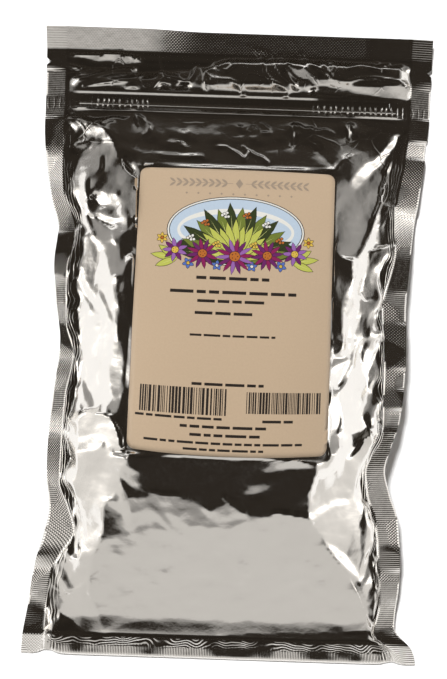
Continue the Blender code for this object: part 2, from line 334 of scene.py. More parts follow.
# Flat facets of the crumpled film, seen from above: the way each faces, in degrees anticlockwise from the
# right-hand side, its tilt from level in degrees, and its corners x, y, x, y and so on in millimetres. The
# corners were placed on the photo, and turned from pixels into half millimetres outside this script.
# Where two facets overlap, the later one holds.
FACETS = (
    (270, 36.5, -61.5, -102.5, -56, -101.5, -52.5, -98, -49, -100.5, -42.5, -97, -36.5, -95.5, -31, -97,
     -27.5, -97, -23.5, -98.5, -20.5, -99, -16.5, -94, -11.5, -92.5, -7.5, -95.5, -4, -93.5, -0.5, -95,
     4.5, -94.5, 8.5, -91, 14.5, -90, 19.5, -90, 23.5, -87.5, 25.5, -85, 31, -85, 37, -86, 42.5, -86.5,
     45.5, -91.5, 50.5, -97, 53.5, -102, 60.5, -111.5, 71.5, -121, 75.5, -130, 77, -148, 42.5, -150,
     22.5, -150.5, -2, -152, -20.5, -150.5, -32, -146, -41.5, -145, -50.5, -148.5, -59, -151.5, -64.5, -141.5,
     -67, -133.5, -68.5, -129, -66.5, -113),
    (240, 34, -73.5, -135, -67, -133.5, -59, -151.5, -64, -154.5, -68.5, -157.5, -75, -151.5),
    (268, 34, -66.5, -157, -64, -153.5, -59, -151.5, -50.5, -148.5, -41.5, -145, -32, -146, -20.5, -150.5,
     -2, -152, -2, -155),
    (271, 27, 4.5, -152, 22.5, -151, 42.5, -150, 75, -148.5, 76, -153, 5, -155.5),
    (268, 28, -47.5, -79.5, -42, -77, -37.5, -75.5, -33.5, -76.5, -30, -78, -26, -77, -22, -77, -21, -81,
     -17, -81, -12, -84, -8.5, -86, -6.5, -89, -4, -85.5, -2.5, -82, 1, -81, 0, -77.5, 2.5, -78.5, 4, -82,
     8, -83.5, 12, -86.5, 14.5, -90, 8.5, -91, 4.5, -94.5, -0.5, -95, -4, -93.5, -7.5, -95.5, -11.5, -92.5,
     -16.5, -94, -20.5, -99, -23.5, -98.5, -27.5, -97, -31, -97, -36.5, -95.5, -42.5, -97, -49, -100.5,
     -52.5, -98, -56, -101.5, -61.5, -102.5, -60.5, -84.5, -57.5, -81.5, -52, -82.5),
    (270, 15, -48, -58, -37, -59, -12.5, -58, 15, -58.5, 46.5, -59, 46.5, -64, 44, -73, 42, -74.5, 19, -75.5,
     10.5, -78, 4, -79, 0, -76, -4.5, -82, -6.5, -87, -9, -84.5, -12, -82, -17, -79.5, -21, -79, -22, -75,
     -29.5, -76, -35.5, -75, -39.5, -76, -43, -75.5, -45, -72, -47.5, -70, -46.5, -66, -48.5, -62.5),
    (270, 13, 9, -79, 19, -75.5, 30.5, -74, 42, -74.5, 43.5, -80.5, 42, -85, 37, -84, 30.5, -83.5, 25, -84,
     22.5, -87, 18.5, -88.5, 13, -85.5),
    (262, 38, -49.5, -98, -45, -89, -39, -84.5, -35.5, -84.5, -28.5, -92.5, -26, -96, -31, -93.5, -36, -89,
     -41.5, -93, -46, -97.5),
    (262, 38, -28.5, -87.5, -23.5, -88.5, -19.5, -94, -22.5, -95, -25.5, -92),
    (255, 38, 1, -90, 5.5, -86, 9.5, -84.5, 10, -87.5, 5.5, -91),
    (220, 42, -52, -88, -46, -86.5, -46, -88.5, -51, -90),
    (203, 37, -73.5, -38, -68, -37, -64, -37.5, -57.5, -39.5, -54.5, -45, -65, -48.5, -75.5, -51, -76, -42),
    (180, 42, -75.5, -51, -65, -48.5, -61.5, -51.5, -64.5, -57, -76, -58),
    (205, 37, -65, -48.5, -54.5, -45, -52, -51, -50, -58.5, -61, -57.5, -64.5, -57, -61.5, -51.5),
    (215, 37, -76, -58, -64.5, -57, -61, -57.5, -50, -59, -49, -65, -58.5, -67.5, -67.5, -69, -76, -70),
    (207, 37, -76, -70, -67.5, -69, -58.5, -67.5, -53.5, -66.5, -52, -71.5, -56, -78.5, -60.5, -84.5,
     -61.5, -94, -64, -97.5, -74, -93, -76.5, -77.5),
    (190, 40, -74, -93, -64, -97.5, -61.5, -101, -66.5, -109, -73, -106),
    (236, 38, -81.5, -112, -70.5, -113.5, -65, -111, -67.5, -121.5, -70.5, -129.5, -73, -150.5, -79, -151.5,
     -86.5, -138.5, -85.5, -121),
    (322, 37, 60.5, -58.5, 67.5, -54, 70.5, -65, 72, -78, 71, -98, 74.5, -109, 71.5, -121, 60.5, -111.5,
     53.5, -100.5, 46.5, -92, 42.5, -84, 46.5, -67, 54, -64.5),
    (0, 42, 42.5, -86, 48.5, -81.5, 55.5, -78.5, 62, -76, 63, -79.5, 55.5, -82, 49.5, -85.5, 44.5, -89.5),
    (0, 42, 51.5, -99, 57, -101, 64, -106.5, 69.5, -113.5, 71.5, -119, 64.5, -113.5, 57.5, -107),
    (325, 30, 54, -66.5, 61, -69.5, 65, -73.5, 61, -75.5, 56, -71.5),
    (300, 36, 61.5, -58.5, 66.5, -53.5, 70.5, -46, 74, -44, 75.5, -50, 73, -62.5, 69.5, -70, 65, -73.5,
     61, -69.5),
    (150, 36, -68, 111, -64, 106, -60.5, 98, -57, 89.5, -50.5, 84, -49.5, 63, -52.5, 63, -54.5, 68,
     -57.5, 70.5, -59.5, 76.5, -63, 77.5, -67, 81.5, -68.5, 88.5, -69.5, 99.5, -68.5, 103.5),
    (150, 36, -69, 103.5, -69.5, 89.5, -74, 83, -85, 85.5, -85, 93, -79, 98, -72, 102),
    (190, 39, -86, 103.5, -81.5, 109, -76, 112, -71, 113, -68, 110.5, -68, 106, -72, 107, -76, 106.5,
     -81.5, 104.5),
    (175, 22, -92, 101, -81.5, 104, -71, 106.5, -68.5, 104.5, -75, 99, -85.5, 93.5, -88.5, 95.5),
    (265, 36, -91.5, 100, -83.5, 102.5, -75.5, 105, -76.5, 101.5, -84.5, 97.5),
    (180, 42, -90, 110.5, -88.5, 110.5, -87, 103, -90, 102),
    (110, 40, -90.5, 113.5, -87.5, 113.5, -84, 109, -85, 104, -87, 104.5, -87, 108.5),
    (95, 46, -92, 119, -77, 118.5, -55, 118.5, -58, 116.5, -66, 114, -73, 113, -77.5, 114, -83, 116.5,
     -92, 116),
    (185, 44, -59, 94.5, -47.5, 93.5, -47.5, 89.5, -48, 83, -53.5, 88.5),
    (90, 50, -47.5, 94, -2.5, 93.5, 52.5, 94, 52, 91, -2.5, 91, -47.5, 91),
    (90, 42, -42, 100, -33, 100, -19, 100, -25.5, 97, -35, 96.5, -41, 98),
    (270, 6, -42, 96, -34, 95.5, -18.5, 98, -12, 94, -23.5, 94.5, -36.5, 95),
    (100, 40, -31, 111, -28.5, 113.5, -24.5, 113, -24, 111, -27, 109, -30.5, 109.5),
    (100, 38, -36, 105.5, -34, 108, -30.5, 108, -30, 105.5, -32.5, 103.5),
    (60, 40, -29.5, 105, -27, 107, -25, 105, -23.5, 102.5, -27.5, 102.5),
    (180, 36, -53, 119, -51.5, 119.5, -50.5, 115.5, -51.5, 112, -52.5, 114.5),
    (200, 36, 1, 114.5, 2.5, 115, 4, 111, 3, 109.5),
    (180, 42, 29, 115.5, 30.5, 118, 32, 111.5, 30.5, 106, 28.5, 103.5, 29.5, 110),
    (200, 34, 58, 116.5, 60.5, 118.5, 62, 113.5, 60, 108.5, 58, 111.5),
    (90, 40, 7.5, 110, 9, 111, 10.5, 109, 9, 108),
    (90, 42, 41.5, 103, 44, 103, 52, 94.5, 50, 93.5),
    (268, 36.5, -93.5, 151, -88, 151, -77, 151, -65.5, 151.5, -57, 151, -51.5, 149.5, -50, 147, -58, 146,
     -67, 145, -77, 145, -83.5, 146, -89, 148),
    (265, 36.5, -95, 148, -90.5, 146.5, -84.5, 144.5, -78, 143, -82, 141, -87.5, 139.5, -94.5, 137.5),
    (268, 36.5, -36, 147.5, -31, 150.5, -25.5, 153, -21, 154.5, -16.5, 152.5, -11, 150, -14, 149, -22, 148.5,
     -28.5, 147.5),
    (245, 37, -52, 143, -46, 147, -42.5, 151.5, -39, 154.5, -37, 153, -40.5, 149.5, -39.5, 145.5, -42, 147.5,
     -47, 144),
    (90, 45, -41.5, 134.5, -39.5, 136.5, -35.5, 136, -34.5, 133.5, -36.5, 131.5, -39, 132),
    (90, 45, -34.5, 132.5, -32.5, 135, -28, 137, -25, 136, -27, 133.5, -32, 131),
    (268, 44, -60.5, 131.5, -58, 134.5, -55, 135.5, -51.5, 134, -49.5, 132, -55, 132.5),
    (264, 37, 24.5, 150.5, 28.5, 148, 32.5, 146.5, 35.5, 147.5, 39.5, 144, 42.5, 141.5, 49, 142, 57, 141,
     61, 139, 68, 138.5, 75.5, 139, 82, 140, 91, 139, 90.5, 130.5, 86.5, 130.5, 78.5, 131.5, 68, 134.5,
     57, 136, 49, 137, 40.5, 138, 36, 140.5, 32, 141, 28.5, 144),
    (100, 42, 38.5, 136, 40.5, 136.5, 45, 132, 44, 129.5, 41.5, 132),
    (180, 36, 53.5, 129.5, 56, 135, 57.5, 134.5, 55.5, 129),
    (100, 42, 61.5, 129.5, 68, 133.5, 69, 132, 63.5, 128.5),
    (180, 31, 75, 154.5, 76.5, 155.5, 77.5, 153, 77, 150.5, 75.5, 151),
    (180, 31, 81, 154, 83, 155, 84, 153, 82, 150.5, 80.5, 151),
    (180, 31, 77, 148, 78.5, 148, 77.5, 145, 76, 145),
    (90, 36, 85.5, 148.5, 89.5, 150, 90.5, 149, 87, 147.5),
    (30, 36, 56.5, 98, 63.5, 101.5, 71.5, 104.5, 78.5, 107, 76, 100, 78.5, 93, 79, 90, 77, 86, 75.5, 76,
     72, 67, 68.5, 56.5, 65.5, 49.5, 61, 46, 57, 46.5, 52.5, 51, 52, 91, 53.5, 95),
    (0, 42, 61, 88, 65.5, 94, 70.5, 98.5, 74, 97.5, 72, 91.5, 68, 86.5, 63.5, 82),
    (0, 44, 87, 114, 85.5, 109, 76, 96, 68.5, 92, 73.5, 99, 79, 107),
    (30, 36, 87, 113, 86, 107.5, 81.5, 99.5, 78, 94, 75, 94),
    (0, 44, 87.5, 112.5, 89.5, 111, 86.5, 101, 83.5, 93.5, 79, 93, 82.5, 100.5),
    (0, 46, 80, 93, 84.5, 93.5, 85, 88.5, 82.5, 83.5, 78, 74.5, 76.5, 70, 75.5, 62.5, 75, 53, 71.5, 50.5,
     71, 43.5, 68.5, 38.5, 66, 32.5, 64.5, 25, 65.5, 17.5, 64.5, 3.5, 59.5, 3.5, 59, 17, 58, 20.5, 61, 27.5,
     63, 32.5, 66, 40, 64.5, 46, 69, 55.5, 73, 64, 73.5, 68.5, 76.5, 76, 78.5, 86.5),
    (0, 20, 76.5, 70.5, 81, 75.5, 83.5, 70, 83.5, 57.5, 82.5, 55, 76, 53.5, 76, 61.5),
    (0, 23, 73, 50.5, 78, 52.5, 80.5, 50, 77, 40.5, 75.5, 33, 75.5, 26, 69.5, 25, 66.5, 29, 68.5, 37,
     71.5, 44.5),
    (0, 14, 52, 50, 57, 45.5, 62, 44, 62.5, 39.5, 63, 33.5, 59.5, 27, 57.5, 20, 58.5, 3.5, 51.5, 3,
     51.5, 24.5),
    (0, 42, 59, 24, 64.5, 27, 64, 21, 60.5, 13, 58, 17),
    (20, 25, 66, 24.5, 74, 23.5, 77, 19.5, 73.5, 11.5, 70, 4, 66.5, 3.5),
    (0, 44, 73.5, 11, 78, 18.5, 78.5, 12.5, 73.5, 1.5, 70, 3.5),
    (0, 44, 59.5, 3, 63, 3, 62.5, -5, 60, -4.5),
    (0, 12, 51.5, 2.5, 58.5, 3, 58.5, -2, 54.5, -5, 51.5, -3.5),
    (33, 36, 55, -5.5, 61, -5.5, 61, -7.5, 51.5, -11.5, 51.5, -8),
    (0, 20, 65, 3.5, 67.5, 4, 64.5, -3.5, 63.5, -10.5, 59.5, -17.5, 55, -22, 55.5, -19.5, 60, -12.5,
     62.5, -5),
    (0, 46, 51.5, -11.5, 61, -6.5, 59.5, -12.5, 54.5, -19.5, 51.5, -21.5),
    (0, 46, 67.5, 1.5, 76, 3.5, 79.5, 4, 75, -2.5, 70.5, -13.5, 71, -20.5, 66.5, -20, 64, -15.5, 64.5, -10.5,
     65.5, -3),
    (0, 20, 71, -14, 75.5, -2.5, 78.5, 2, 80, -11, 77.5, -19, 75.5, -24.5, 72, -21.5),
    (270, 36, 70, 5, 75.5, 7.5, 79.5, 9, 77, 5.5, 71, -2, 68.5, -8.5, 67.5, -2.5),
    (0, 15, 52.5, -23, 54, -23.5, 58, -30, 57.5, -31.5),
    (20, 27, 63, -15, 64.5, -15, 68.5, -23, 69.5, -32, 68, -31, 66.5, -23),
    (0, 47, 55.5, -23, 63, -15, 67.5, -21.5, 68.5, -27.5, 71, -37, 73, -41.5, 69.5, -45.5, 66, -52.5,
     61.5, -58, 58, -65.5, 57, -64, 57.5, -54.5, 59.5, -50.5, 56, -43, 59, -43, 57.5, -33),
    (350, 44, 52, -24, 55, -28, 57.5, -37.5, 56, -43, 53.5, -37.5, 51.5, -32),
    (33, 36, 51, -36.5, 54, -38.5, 58.5, -50.5, 57, -54.5, 52, -55.5),
    (180, 47, -80.5, 30, -78.5, 37, -71, 26, -69.5, 20, -68, 46, -72, 51, -68, 50, -64.5, 42.5, -61.5, 35.5,
     -57.5, 20, -56, -0.5, -57.5, -11.5, -59.5, -15.5, -59, -25, -62.5, -27, -64, -33, -65.5, -35.5,
     -69.5, -36, -74, -37, -74.5, -33, -76, -26, -74.5, -21, -77, -0.5, -80.5, 20.5),
    (155, 33, -81.5, 30.5, -80, 30.5, -69.5, 16, -70.5, 14.5, -75.5, 20),
    (155, 33, -72.5, 31, -70, 30.5, -71, 25, -72.5, 25),
    (155, 31, -68.5, 26, -64.5, 23, -58.5, 8.5, -61, 10.5),
    (155, 31, -75.5, -20.5, -73, -22.5, -67.5, -32.5, -69, -36, -72.5, -31),
    (180, 22, -81.5, 55.5, -73, 53.5, -68.5, 47, -68, 41, -70, 33, -71, 28.5, -78.5, 37, -83.5, 36.5),
    (180, 47, -90, 78, -87, 89, -77, 89, -76, 74, -78.5, 71, -76.5, 65.5, -73.5, 59, -68, 46, -64.5, 42.5,
     -68, 49.5, -72.5, 53.5, -79, 59.5, -85, 70.5, -88, 75.5),
    (153, 36, -76, 87.5, -68.5, 87.5, -69.5, 83, -74.5, 78, -75.5, 73),
    (175, 22, -69, 88, -67, 81.5, -63, 77, -66, 75.5, -74.5, 78, -69.5, 83),
    (190, 38, -74, 76, -65.5, 76, -60, 76.5, -57.5, 71, -63.5, 69, -69, 69.5, -72.5, 73),
    (175, 22, -58, 70.5, -59.5, 68, -64, 64, -72, 65, -68, 68),
    (195, 38, -72, 64, -65.5, 64.5, -58.5, 63, -61.5, 58.5, -67, 60.5),
    (152, 36, -76, 65, -72.5, 63.5, -61.5, 56, -58.5, 55, -53.5, 55.5, -52.5, 60.5, -49.5, 60.5, -49.5, 53.5,
     -55.5, 54.5, -62.5, 51, -60, 48, -57, 47.5, -55.5, 40, -52.5, 35.5, -55, 32, -59.5, 35.5, -64.5, 46,
     -70, 54),
    (180, 12, -61.5, 51.5, -55.5, 54.5, -49, 58.5, -49, 46, -54.5, 42.5, -55.5, 47, -59, 48),
    (180, 14, -59.5, 33, -55, 31.5, -53.5, 39.5, -50.5, 41.5, -50, 19.5, -50, -1, -50, -48.5, -57, -40,
     -53.5, -39, -53.5, -29, -51, -26, -53.5, -20, -52.5, -12.5, -54.5, -0.5, -57, 20),
    (152, 37, -56, 31, -56.5, 25, -54.5, 19.5, -51.5, 15.5, -53, 20, -54.5, 25),
    (153, 36, -56.5, -0.5, -54.5, -0.5, -52.5, -11.5, -54, -15.5, -53.5, -22.5, -51, -26, -54, -29.5,
     -53.5, -38.5, -58.5, -38, -61, -33, -56.5, -31.5, -59, -26, -59, -15.5, -57.5, -12.5),
    (262, 37, -53, -64.5, -48.5, -64, -43.5, -66.5, -44, -72.5, -42, -74, -46, -75.5, -48.5, -73, -51.5, -68),
    (270, 10, -52.5, -69, -50.5, -71, -46.5, -75.5, -39, -76.5, -37, -79, -43, -80, -48, -78, -51.5, -74.5),
    (150, 27, -85.5, -113.5, -83, -114.5, -79.5, -122, -77, -131, -79, -132, -84, -122.5),
    (268, 36, 20, -64, 23.5, -59.5, 30, -58, 38.5, -58.5, 46, -62, 37.5, -62, 27.5, -63.5, 21, -66),
    (250, 36, 10.5, -76, 13, -72, 18.5, -70, 21, -68.5, 22, -72.5, 19, -76, 14, -77),
    (268, 28, -48.5, -100.5, -44.5, -96.5, -40.5, -91.5, -35.5, -89.5, -31, -93.5, -27.5, -97, -32, -96,
     -37.5, -95.5, -43.5, -98),
)
FREE_WEIGHT = 0.03
FREE_REACH = 80.0
HELD_WEIGHT = 10
FACET_STEPS = 700

# The label's print, in millimetres from its middle: rows of dashes (left, right, height, size), blocks of
# stripes (left, right, low, high, thinnest stripe), the medallion's rings (ink, half width, half height) and
# the daisies on both its sides (across, height, radius, petals, inks, heart, turn)
DASH_ROWS = (
    (-19, 18, 14.9, 2.5), (-32, 32, 7.4, 2.5), (-18, 18, 2.6, 2.3), (-19, 10, -3.8, 2.3),
    (-21, 22, -15.5, 1.7), (-19, 17, -40.5, 2.1), (-47, -1, -57.8, 1.8), (17, 34, -58.4, 2.0),
    (-24, 19, -61.9, 2.1), (-19, 16, -66.0, 2.1), (-42, 40, -70.0, 1.8), (-22, 18, -73.2, 1.7),
)
STRIPE_BLOCKS = ((-45, -1, -56, -42.5, 0.42), (8.7, 47, -54.5, -43.7, 0.38))
MEDALLION_CENTRE = (0, 41)
MEDALLION_FOOT = (0, 25)
BERRY_ARC = 25.5
MEDALLION_RINGS = (
    ("line", 35.4, 19.4), ("white", 35.0, 19.0), ("line", 34.2, 18.2), ("sky", 33.8, 17.8),
    ("white", 30, 12.5), ("sky", 28.5, 9.5),
)
SIDE_DAISIES = (
    (30.5, 29.5, 6.6, 9, ("lilac", "purple"), "yellow", 20),
    (23.5, 22.5, 3.0, 5, ("blue",), "yellow", 50),
    (16.5, 28, 8.4, 12, ("purple", "plum"), "orange", 10),
    (8.8, 21.8, 2.8, 5, ("blue",), "white", 15),
    (37.5, 36, 3.0, 6, ("yellow",), "orange", 30),
)
OUTLINE = 0.3
PRINT_SEED = 11
LABEL_EXPOSURE = 0.68
INKS = {
    "paper": (204, 180, 152),
    "taupe": (165, 148, 130),
    "line": (48, 42, 38),
    "white": (238, 236, 228),
    "sky": (196, 212, 228),
    "green": (118, 130, 58),
    "dark_green": (58, 66, 38),
    "leaf_light": (196, 200, 96),
    "rib": (222, 222, 140),
    "purple": (112, 44, 104),
    "plum": (142, 40, 92),
    "lilac": (156, 106, 176),
    "yellow": (226, 190, 84),
    "orange": (190, 112, 52),
    "blue": (92, 118, 190),
}

# The studio: tones of the side light and of the ring above it, from the pouch's bottom end (0) to its zip end
# (1), and of the ceiling by the height of the direction. The ring starts and ends between these heights, each
# raised by up to ZIP_END_DARK towards the zip end.
WARMTH = (1.0, 0.975, 0.94)
DARK_WARMTH = (1.0, 0.82, 0.64)
SIDE_TONES = (
    (0, 0.7), (0.06, 0.72), (0.2, 0.76), (0.34, 0.9), (0.42, 1.3), (0.47, 2.4), (0.53, 2.4), (0.57, 1.0),
    (0.65, 0.42), (0.82, 0.32), (1, 0.3),
)
RING_TONES = ((0, 0.36), (0.1, 0.33), (0.2, 0.3), (0.6, 0.28), (0.8, 0.2), (1, 0.2))
CEILING_TONES = ((0.6, 0.036), (0.75, 0.026), (0.9, 0.03), (0.97, 0.024), (1, 0.02))
RING_FOOT = (0.43, 0.56)
RING_HEAD = (0.6, 0.7)
ZIP_END_DARK = 0.42
SUN_STRENGTH = 4.0
SUN_SPREAD = 10
SUN_FROM = (-0.22, 0.45, 1)
FLOOR_HALF = 3.0
FLOOR_DROP = 0.2


def cubic(t, size, values, tangent, i):
    """The cubic a share t of the way from value i to the next, this far off, with these tangents."""
    return (
        (2 * t**3 - 3 * t**2 + 1) * values[i]
        + (t**3 - 2 * t**2 + t) * size * tangent[i]
        + (3 * t**2 - 2 * t**3) * values[i + 1]
        + (t**3 - t**2) * size * tangent[i + 1]
    )


def profile(points, at):
    """A smooth curve through points that doesn't overshoot them."""
    x, y = np.array(points, float).T
    step = np.diff(x)
    slope = np.diff(y) / step
    rising = slope[:-1] * slope[1:] > 0
    steep = np.where(slope == 0, 1.0, np.abs(slope))
    before, after = 2 * step[1:] + step[:-1], step[1:] + 2 * step[:-1]
    mean = np.sign(slope[1:]) * (before + after) / (before / steep[:-1] + after / steep[1:])
    tangent = np.concatenate([slope[:1], np.where(rising, mean, 0.0), slope[-1:]])
    at = np.clip(at, x[0], x[-1])
    i = np.clip(np.searchsorted(x, at) - 1, 0, len(step) - 1)
    return cubic((at - x[i]) / step[i], step[i], y, tangent, i)


def smooth_step(low, high, x):
    """0 below low and 1 above high, with a soft change between them."""
    t = np.clip((x - low) / (high - low), 0, 1)
    return t * t * (3 - 2 * t)


def band(foot, start, end, head, x):
    """1 between start and end, with a soft change down to 0 at foot and head."""
    return smooth_step(foot, start, x) * (1 - smooth_step(end, head, x))


def pairs(values):
    """A flat row of numbers, two by two."""
    return list(zip(values[::2], values[1::2]))


def station(u, v):
    """How far up the filled pouch a flat place lies: its middle climbs over the fill, its sides don't."""
    fine = np.linspace(0, LENGTH, CROWN_SAMPLES)
    climbed = np.concatenate([[0], np.cumsum(np.hypot(np.diff(fine), np.diff(profile(CROWN, fine))))])
    marks = [0, SEAL, ZIP_LOW, FLAT_LENGTH]
    places = [0, SEAL, BELOW_ZIP, LENGTH]
    side = np.interp(v, marks, places)
    middle = np.interp(np.interp(v, marks, np.interp(places, fine, climbed)), climbed, fine)
    outwards = np.clip(np.abs(u) / INNER_HALF, 0, 1) ** 2
    return middle * (1 - outwards) + side * outwards


def shoulder(across, power, rounding):
    """How high a dome stands a share of the way across it, from 1 in the middle to 0 at its edge."""
    return (1 - np.abs(across) ** power) ** rounding


def film_point(front, u, v):
    """Where the front or back film lies at flat places u, v, before its folds and lumps."""
    y = station(u, v)
    seam_across = np.where(u < 0, profile(LEFT_SEAM, y), profile(RIGHT_SEAM, y))
    half = profile(SEAM_SMOOTH, y)
    pinch = half - seam_across
    share = np.clip(u / INNER_HALF, -1, 1)
    slack = INNER_HALF / half
    across = share * (slack - (slack - 1) * np.abs(share) ** CREEP_POWER)
    x = half * across - np.sign(u) * pinch * np.abs(across) ** PUCKER_REACH

    puckered = np.clip(y / SEAL - 1, 0, 1) * np.clip((BELOW_ZIP - y) / HEADER_HEIGHT, 0, 1)
    seam = np.maximum(profile(SEAM_HEIGHT, y) + SEAM_LIFT * pinch * puckered, profile(SEAM_HEIGHT, 0.0))

    header = np.clip((y - HEADER_START) / (BELOW_ZIP - HEADER_START), 0, 1)
    header_shape = shoulder(across, HEADER_POWER, HEADER_ROUND)
    if front:
        middle = profile(CROWN, y)
        body_shape = shoulder(across, CROWN_POWER, CROWN_ROUND)
    else:
        middle = profile(UNDERSIDE, y)
        body_shape = 1 - np.clip((np.abs(across) - FLAT_BACK) / (1 - FLAT_BACK), 0, 1) ** BACK_POWER
    z = seam + (middle - seam) * (body_shape * (1 - header) + header_shape * header)

    sealed = np.clip((np.abs(u) - INNER_HALF) / SEAL, 0, 1)
    edge = np.where(u < 0, profile(LEFT_EDGE, y), profile(RIGHT_EDGE, y))
    x = x + np.sign(u) * sealed * (edge - seam_across)
    fall = np.radians(np.where(u < 0, profile(LEFT_FALL, y), profile(RIGHT_FALL, y)))
    droop = sealed * np.tan(fall) * (edge - seam_across)
    z = z - np.minimum(droop, sealed * (seam - FLOOR_CLEARANCE))
    return np.stack([x + MIDDLE_SHIFT, y - LENGTH / 2, z], -1)


def target_form(u, v):
    """Both films at flat places u, v, before their folds and lumps."""
    return np.stack([film_point(front, u, v) for front in (True, False)])


def grid_lines(stops, step):
    """Places along a line of stops, with each stretch cut into equal steps of about this size."""
    places = [stops[0]]
    for start, end in zip(stops, stops[1:]):
        count = max(1, round((end - start) / step))
        places += [start + (end - start) * (i + 1) / count for i in range(count)]
    return np.array(places)


def flat_grid(step):
    """The solver's grid lines across and up the flat pouch."""
    across = grid_lines([-FLAT_WIDTH / 2, -INNER_HALF, INNER_HALF, FLAT_WIDTH / 2], step)
    up = grid_lines([0, SEAL, ZIP_LOW, ZIP_HIGH, FLAT_LENGTH - SEAL, FLAT_LENGTH], step)
    return across, up


def mesh_grid():
    """The finished film's grid lines, closer together in the zip."""
    across = grid_lines([-FLAT_WIDTH / 2, -INNER_HALF, INNER_HALF, FLAT_WIDTH / 2], MESH_ACROSS)
    stretches = [grid_lines(MESH_STOPS[i : i + 2], step) for i, step in enumerate(MESH_UP)]
    return across, np.unique(np.concatenate(stretches))


def notched(across, up):
    """Flat places of the grid's points, drawn in at the V-shaped tear notches in the side seals."""
    u, v = np.meshgrid(across, up)
    cut = NOTCH_DEPTH * np.clip(1 - np.abs(v - NOTCH_HEIGHT) / NOTCH_HALF_WIDTH, 0, 1)
    in_seal = np.maximum(np.abs(u) - INNER_HALF, 0)
    return u - np.sign(u) * in_seal / SEAL * cut, v


def joined_places(across, up):
    """True where the two films are sealed or zipped together."""
    inside = np.abs(across)[None, :] < INNER_HALF - TINY
    body = (up > SEAL + TINY) & (up < ZIP_LOW - TINY)
    head = (up > ZIP_HIGH + TINY) & (up < FLAT_LENGTH - SEAL - TINY)
    return ~(inside & (body | head)[:, None])


def outward(layers):
    """Unit normals of both films, out of the pouch."""
    normal = np.cross(np.gradient(layers, axis=2), np.gradient(layers, axis=1))
    normal /= np.linalg.norm(normal, axis=-1, keepdims=True) + NEVER_ZERO
    normal[1] *= -1
    return normal


def blur(field, radius):
    """Two passes of a box average along rows and columns, with the edges held."""
    reach = max(1, int(radius))
    for axis in (1, 2, 1, 2):
        padding = [(0, 0)] * field.ndim
        padding[axis] = (reach + 1, reach)
        total = np.cumsum(np.pad(field, padding, mode="edge"), axis=axis)
        count = field.shape[axis]
        last = np.take(total, range(2 * reach + 1, 2 * reach + 1 + count), axis=axis)
        before = np.take(total, range(count), axis=axis)
        field = (last - before) / (2 * reach + 1)
    return field


def laplacian(layers):
    """How far the mean of each point's neighbours lies from it."""
    wide = np.pad(layers, [(0, 0), (1, 1), (1, 1), (0, 0)], mode="edge")
    around = wide[:, :-2, 1:-1] + wide[:, 2:, 1:-1] + wide[:, 1:-1, :-2] + wide[:, 1:-1, 2:]
    return around / 4 - layers


def pull(a, b, rest, strength):
    """Move linked points a and b towards being this far apart."""
    apart = b - a
    distance = np.sqrt((apart * apart).sum(-1, keepdims=True)) + NEVER_ZERO
    move = (0.5 * strength) * (1 - rest[..., None] / distance) * apart
    a += move
    b -= move


def relax(layers, across, up, target, level):
    """Bring both films to their flat lengths, as near as that allows to the target form."""
    rows, columns = layers.shape[1:3]
    facing = outward(target)
    rest_u, rest_v = np.diff(across)[None, None, :], np.diff(up)[None, :, None]
    rest_d = np.hypot(rest_u, rest_v)
    joined = joined_places(across, up)
    held = joined[None, :, :, None]
    stiffness = level["bend"] * np.where(held, SEAL_STIFFNESS, 1.0)
    for _ in range(level["steps"]):
        for start in (0, 1):
            count = (columns - start) // 2
            end = start + 2 * count
            left, right = layers[:, :, start:end:2], layers[:, :, start + 1 : end + 1 : 2]
            pull(left, right, rest_u[:, :, start:end:2], 1)
            count = (rows - start) // 2
            end = start + 2 * count
            low, high = layers[:, start:end:2], layers[:, start + 1 : end + 1 : 2]
            pull(low, high, rest_v[:, start:end:2], 1)
            pull(low[:, :, :-1], high[:, :, 1:], rest_d[:, start:end:2], SHEAR)
            pull(low[:, :, 1:], high[:, :, :-1], rest_d[:, start:end:2], SHEAR)
        layers -= stiffness * laplacian(laplacian(layers))
        off = blur(target - layers, level["radius"] / level["step"])
        along = (off * facing).sum(-1, keepdims=True)
        layers += TARGET_PULL * along * facing + SEAL_DRIFT * held * (off - along * facing)
        layers += level["press"] * ~held * outward(layers)
        overlap = np.where(joined, 0, np.maximum(LAYER_GAP - layers[0, :, :, 2] + layers[1, :, :, 2], 0)) / 2
        layers[0, :, :, 2] += overlap
        layers[1, :, :, 2] -= overlap
        layers[:] = np.where(held, layers.mean(0, keepdims=True), layers)
        layers[..., 2] = np.maximum(layers[..., 2], LAYER_GAP)


def resample(field, across, up, new_across, new_up):
    """Cubic resampling of a grid of points along both of its axes."""

    def along(values, old, new, axis):
        values = np.moveaxis(values, axis, 0)
        shape = (-1,) + (1,) * (values.ndim - 1)
        step = np.diff(old)
        slope = np.diff(values, axis=0) / step.reshape(shape)
        tangent = np.concatenate([slope[:1], (slope[:-1] + slope[1:]) / 2, slope[-1:]])
        i = np.clip(np.searchsorted(old, new) - 1, 0, len(step) - 1)
        t = ((new - old[i]) / step[i]).reshape(shape)
        return np.moveaxis(cubic(t, step[i].reshape(shape), values, tangent, i), 0, axis)

    return along(along(field, across, new_across, 2), up, new_up, 1)


def solve_film():
    """Both films of the filled pouch, as two layers of points on the finest solver grid."""
    rng = np.random.default_rng(SOLVER_SEED)
    layers = None
    for level in SOLVER_GRIDS:
        across, up = flat_grid(level["step"])
        target = target_form(*np.meshgrid(across, up))
        if layers is None:
            layers = target.copy()
        else:
            layers = resample(layers, *coarser, across, up)
        layers += level["noise"] * outward(target) * rng.normal(0, 1, layers.shape[:3] + (1,))
        relax(layers, across, up, target, level)
        coarser = (across, up)
    return layers, across, up


def label_distance(u, v):
    """How far outside the label a flat place lies; 0 under it."""
    a, b = to_label(u, v)
    return np.hypot(np.maximum(np.abs(a) - LABEL_WIDTH / 2, 0), np.maximum(np.abs(b) - LABEL_LENGTH / 2, 0))


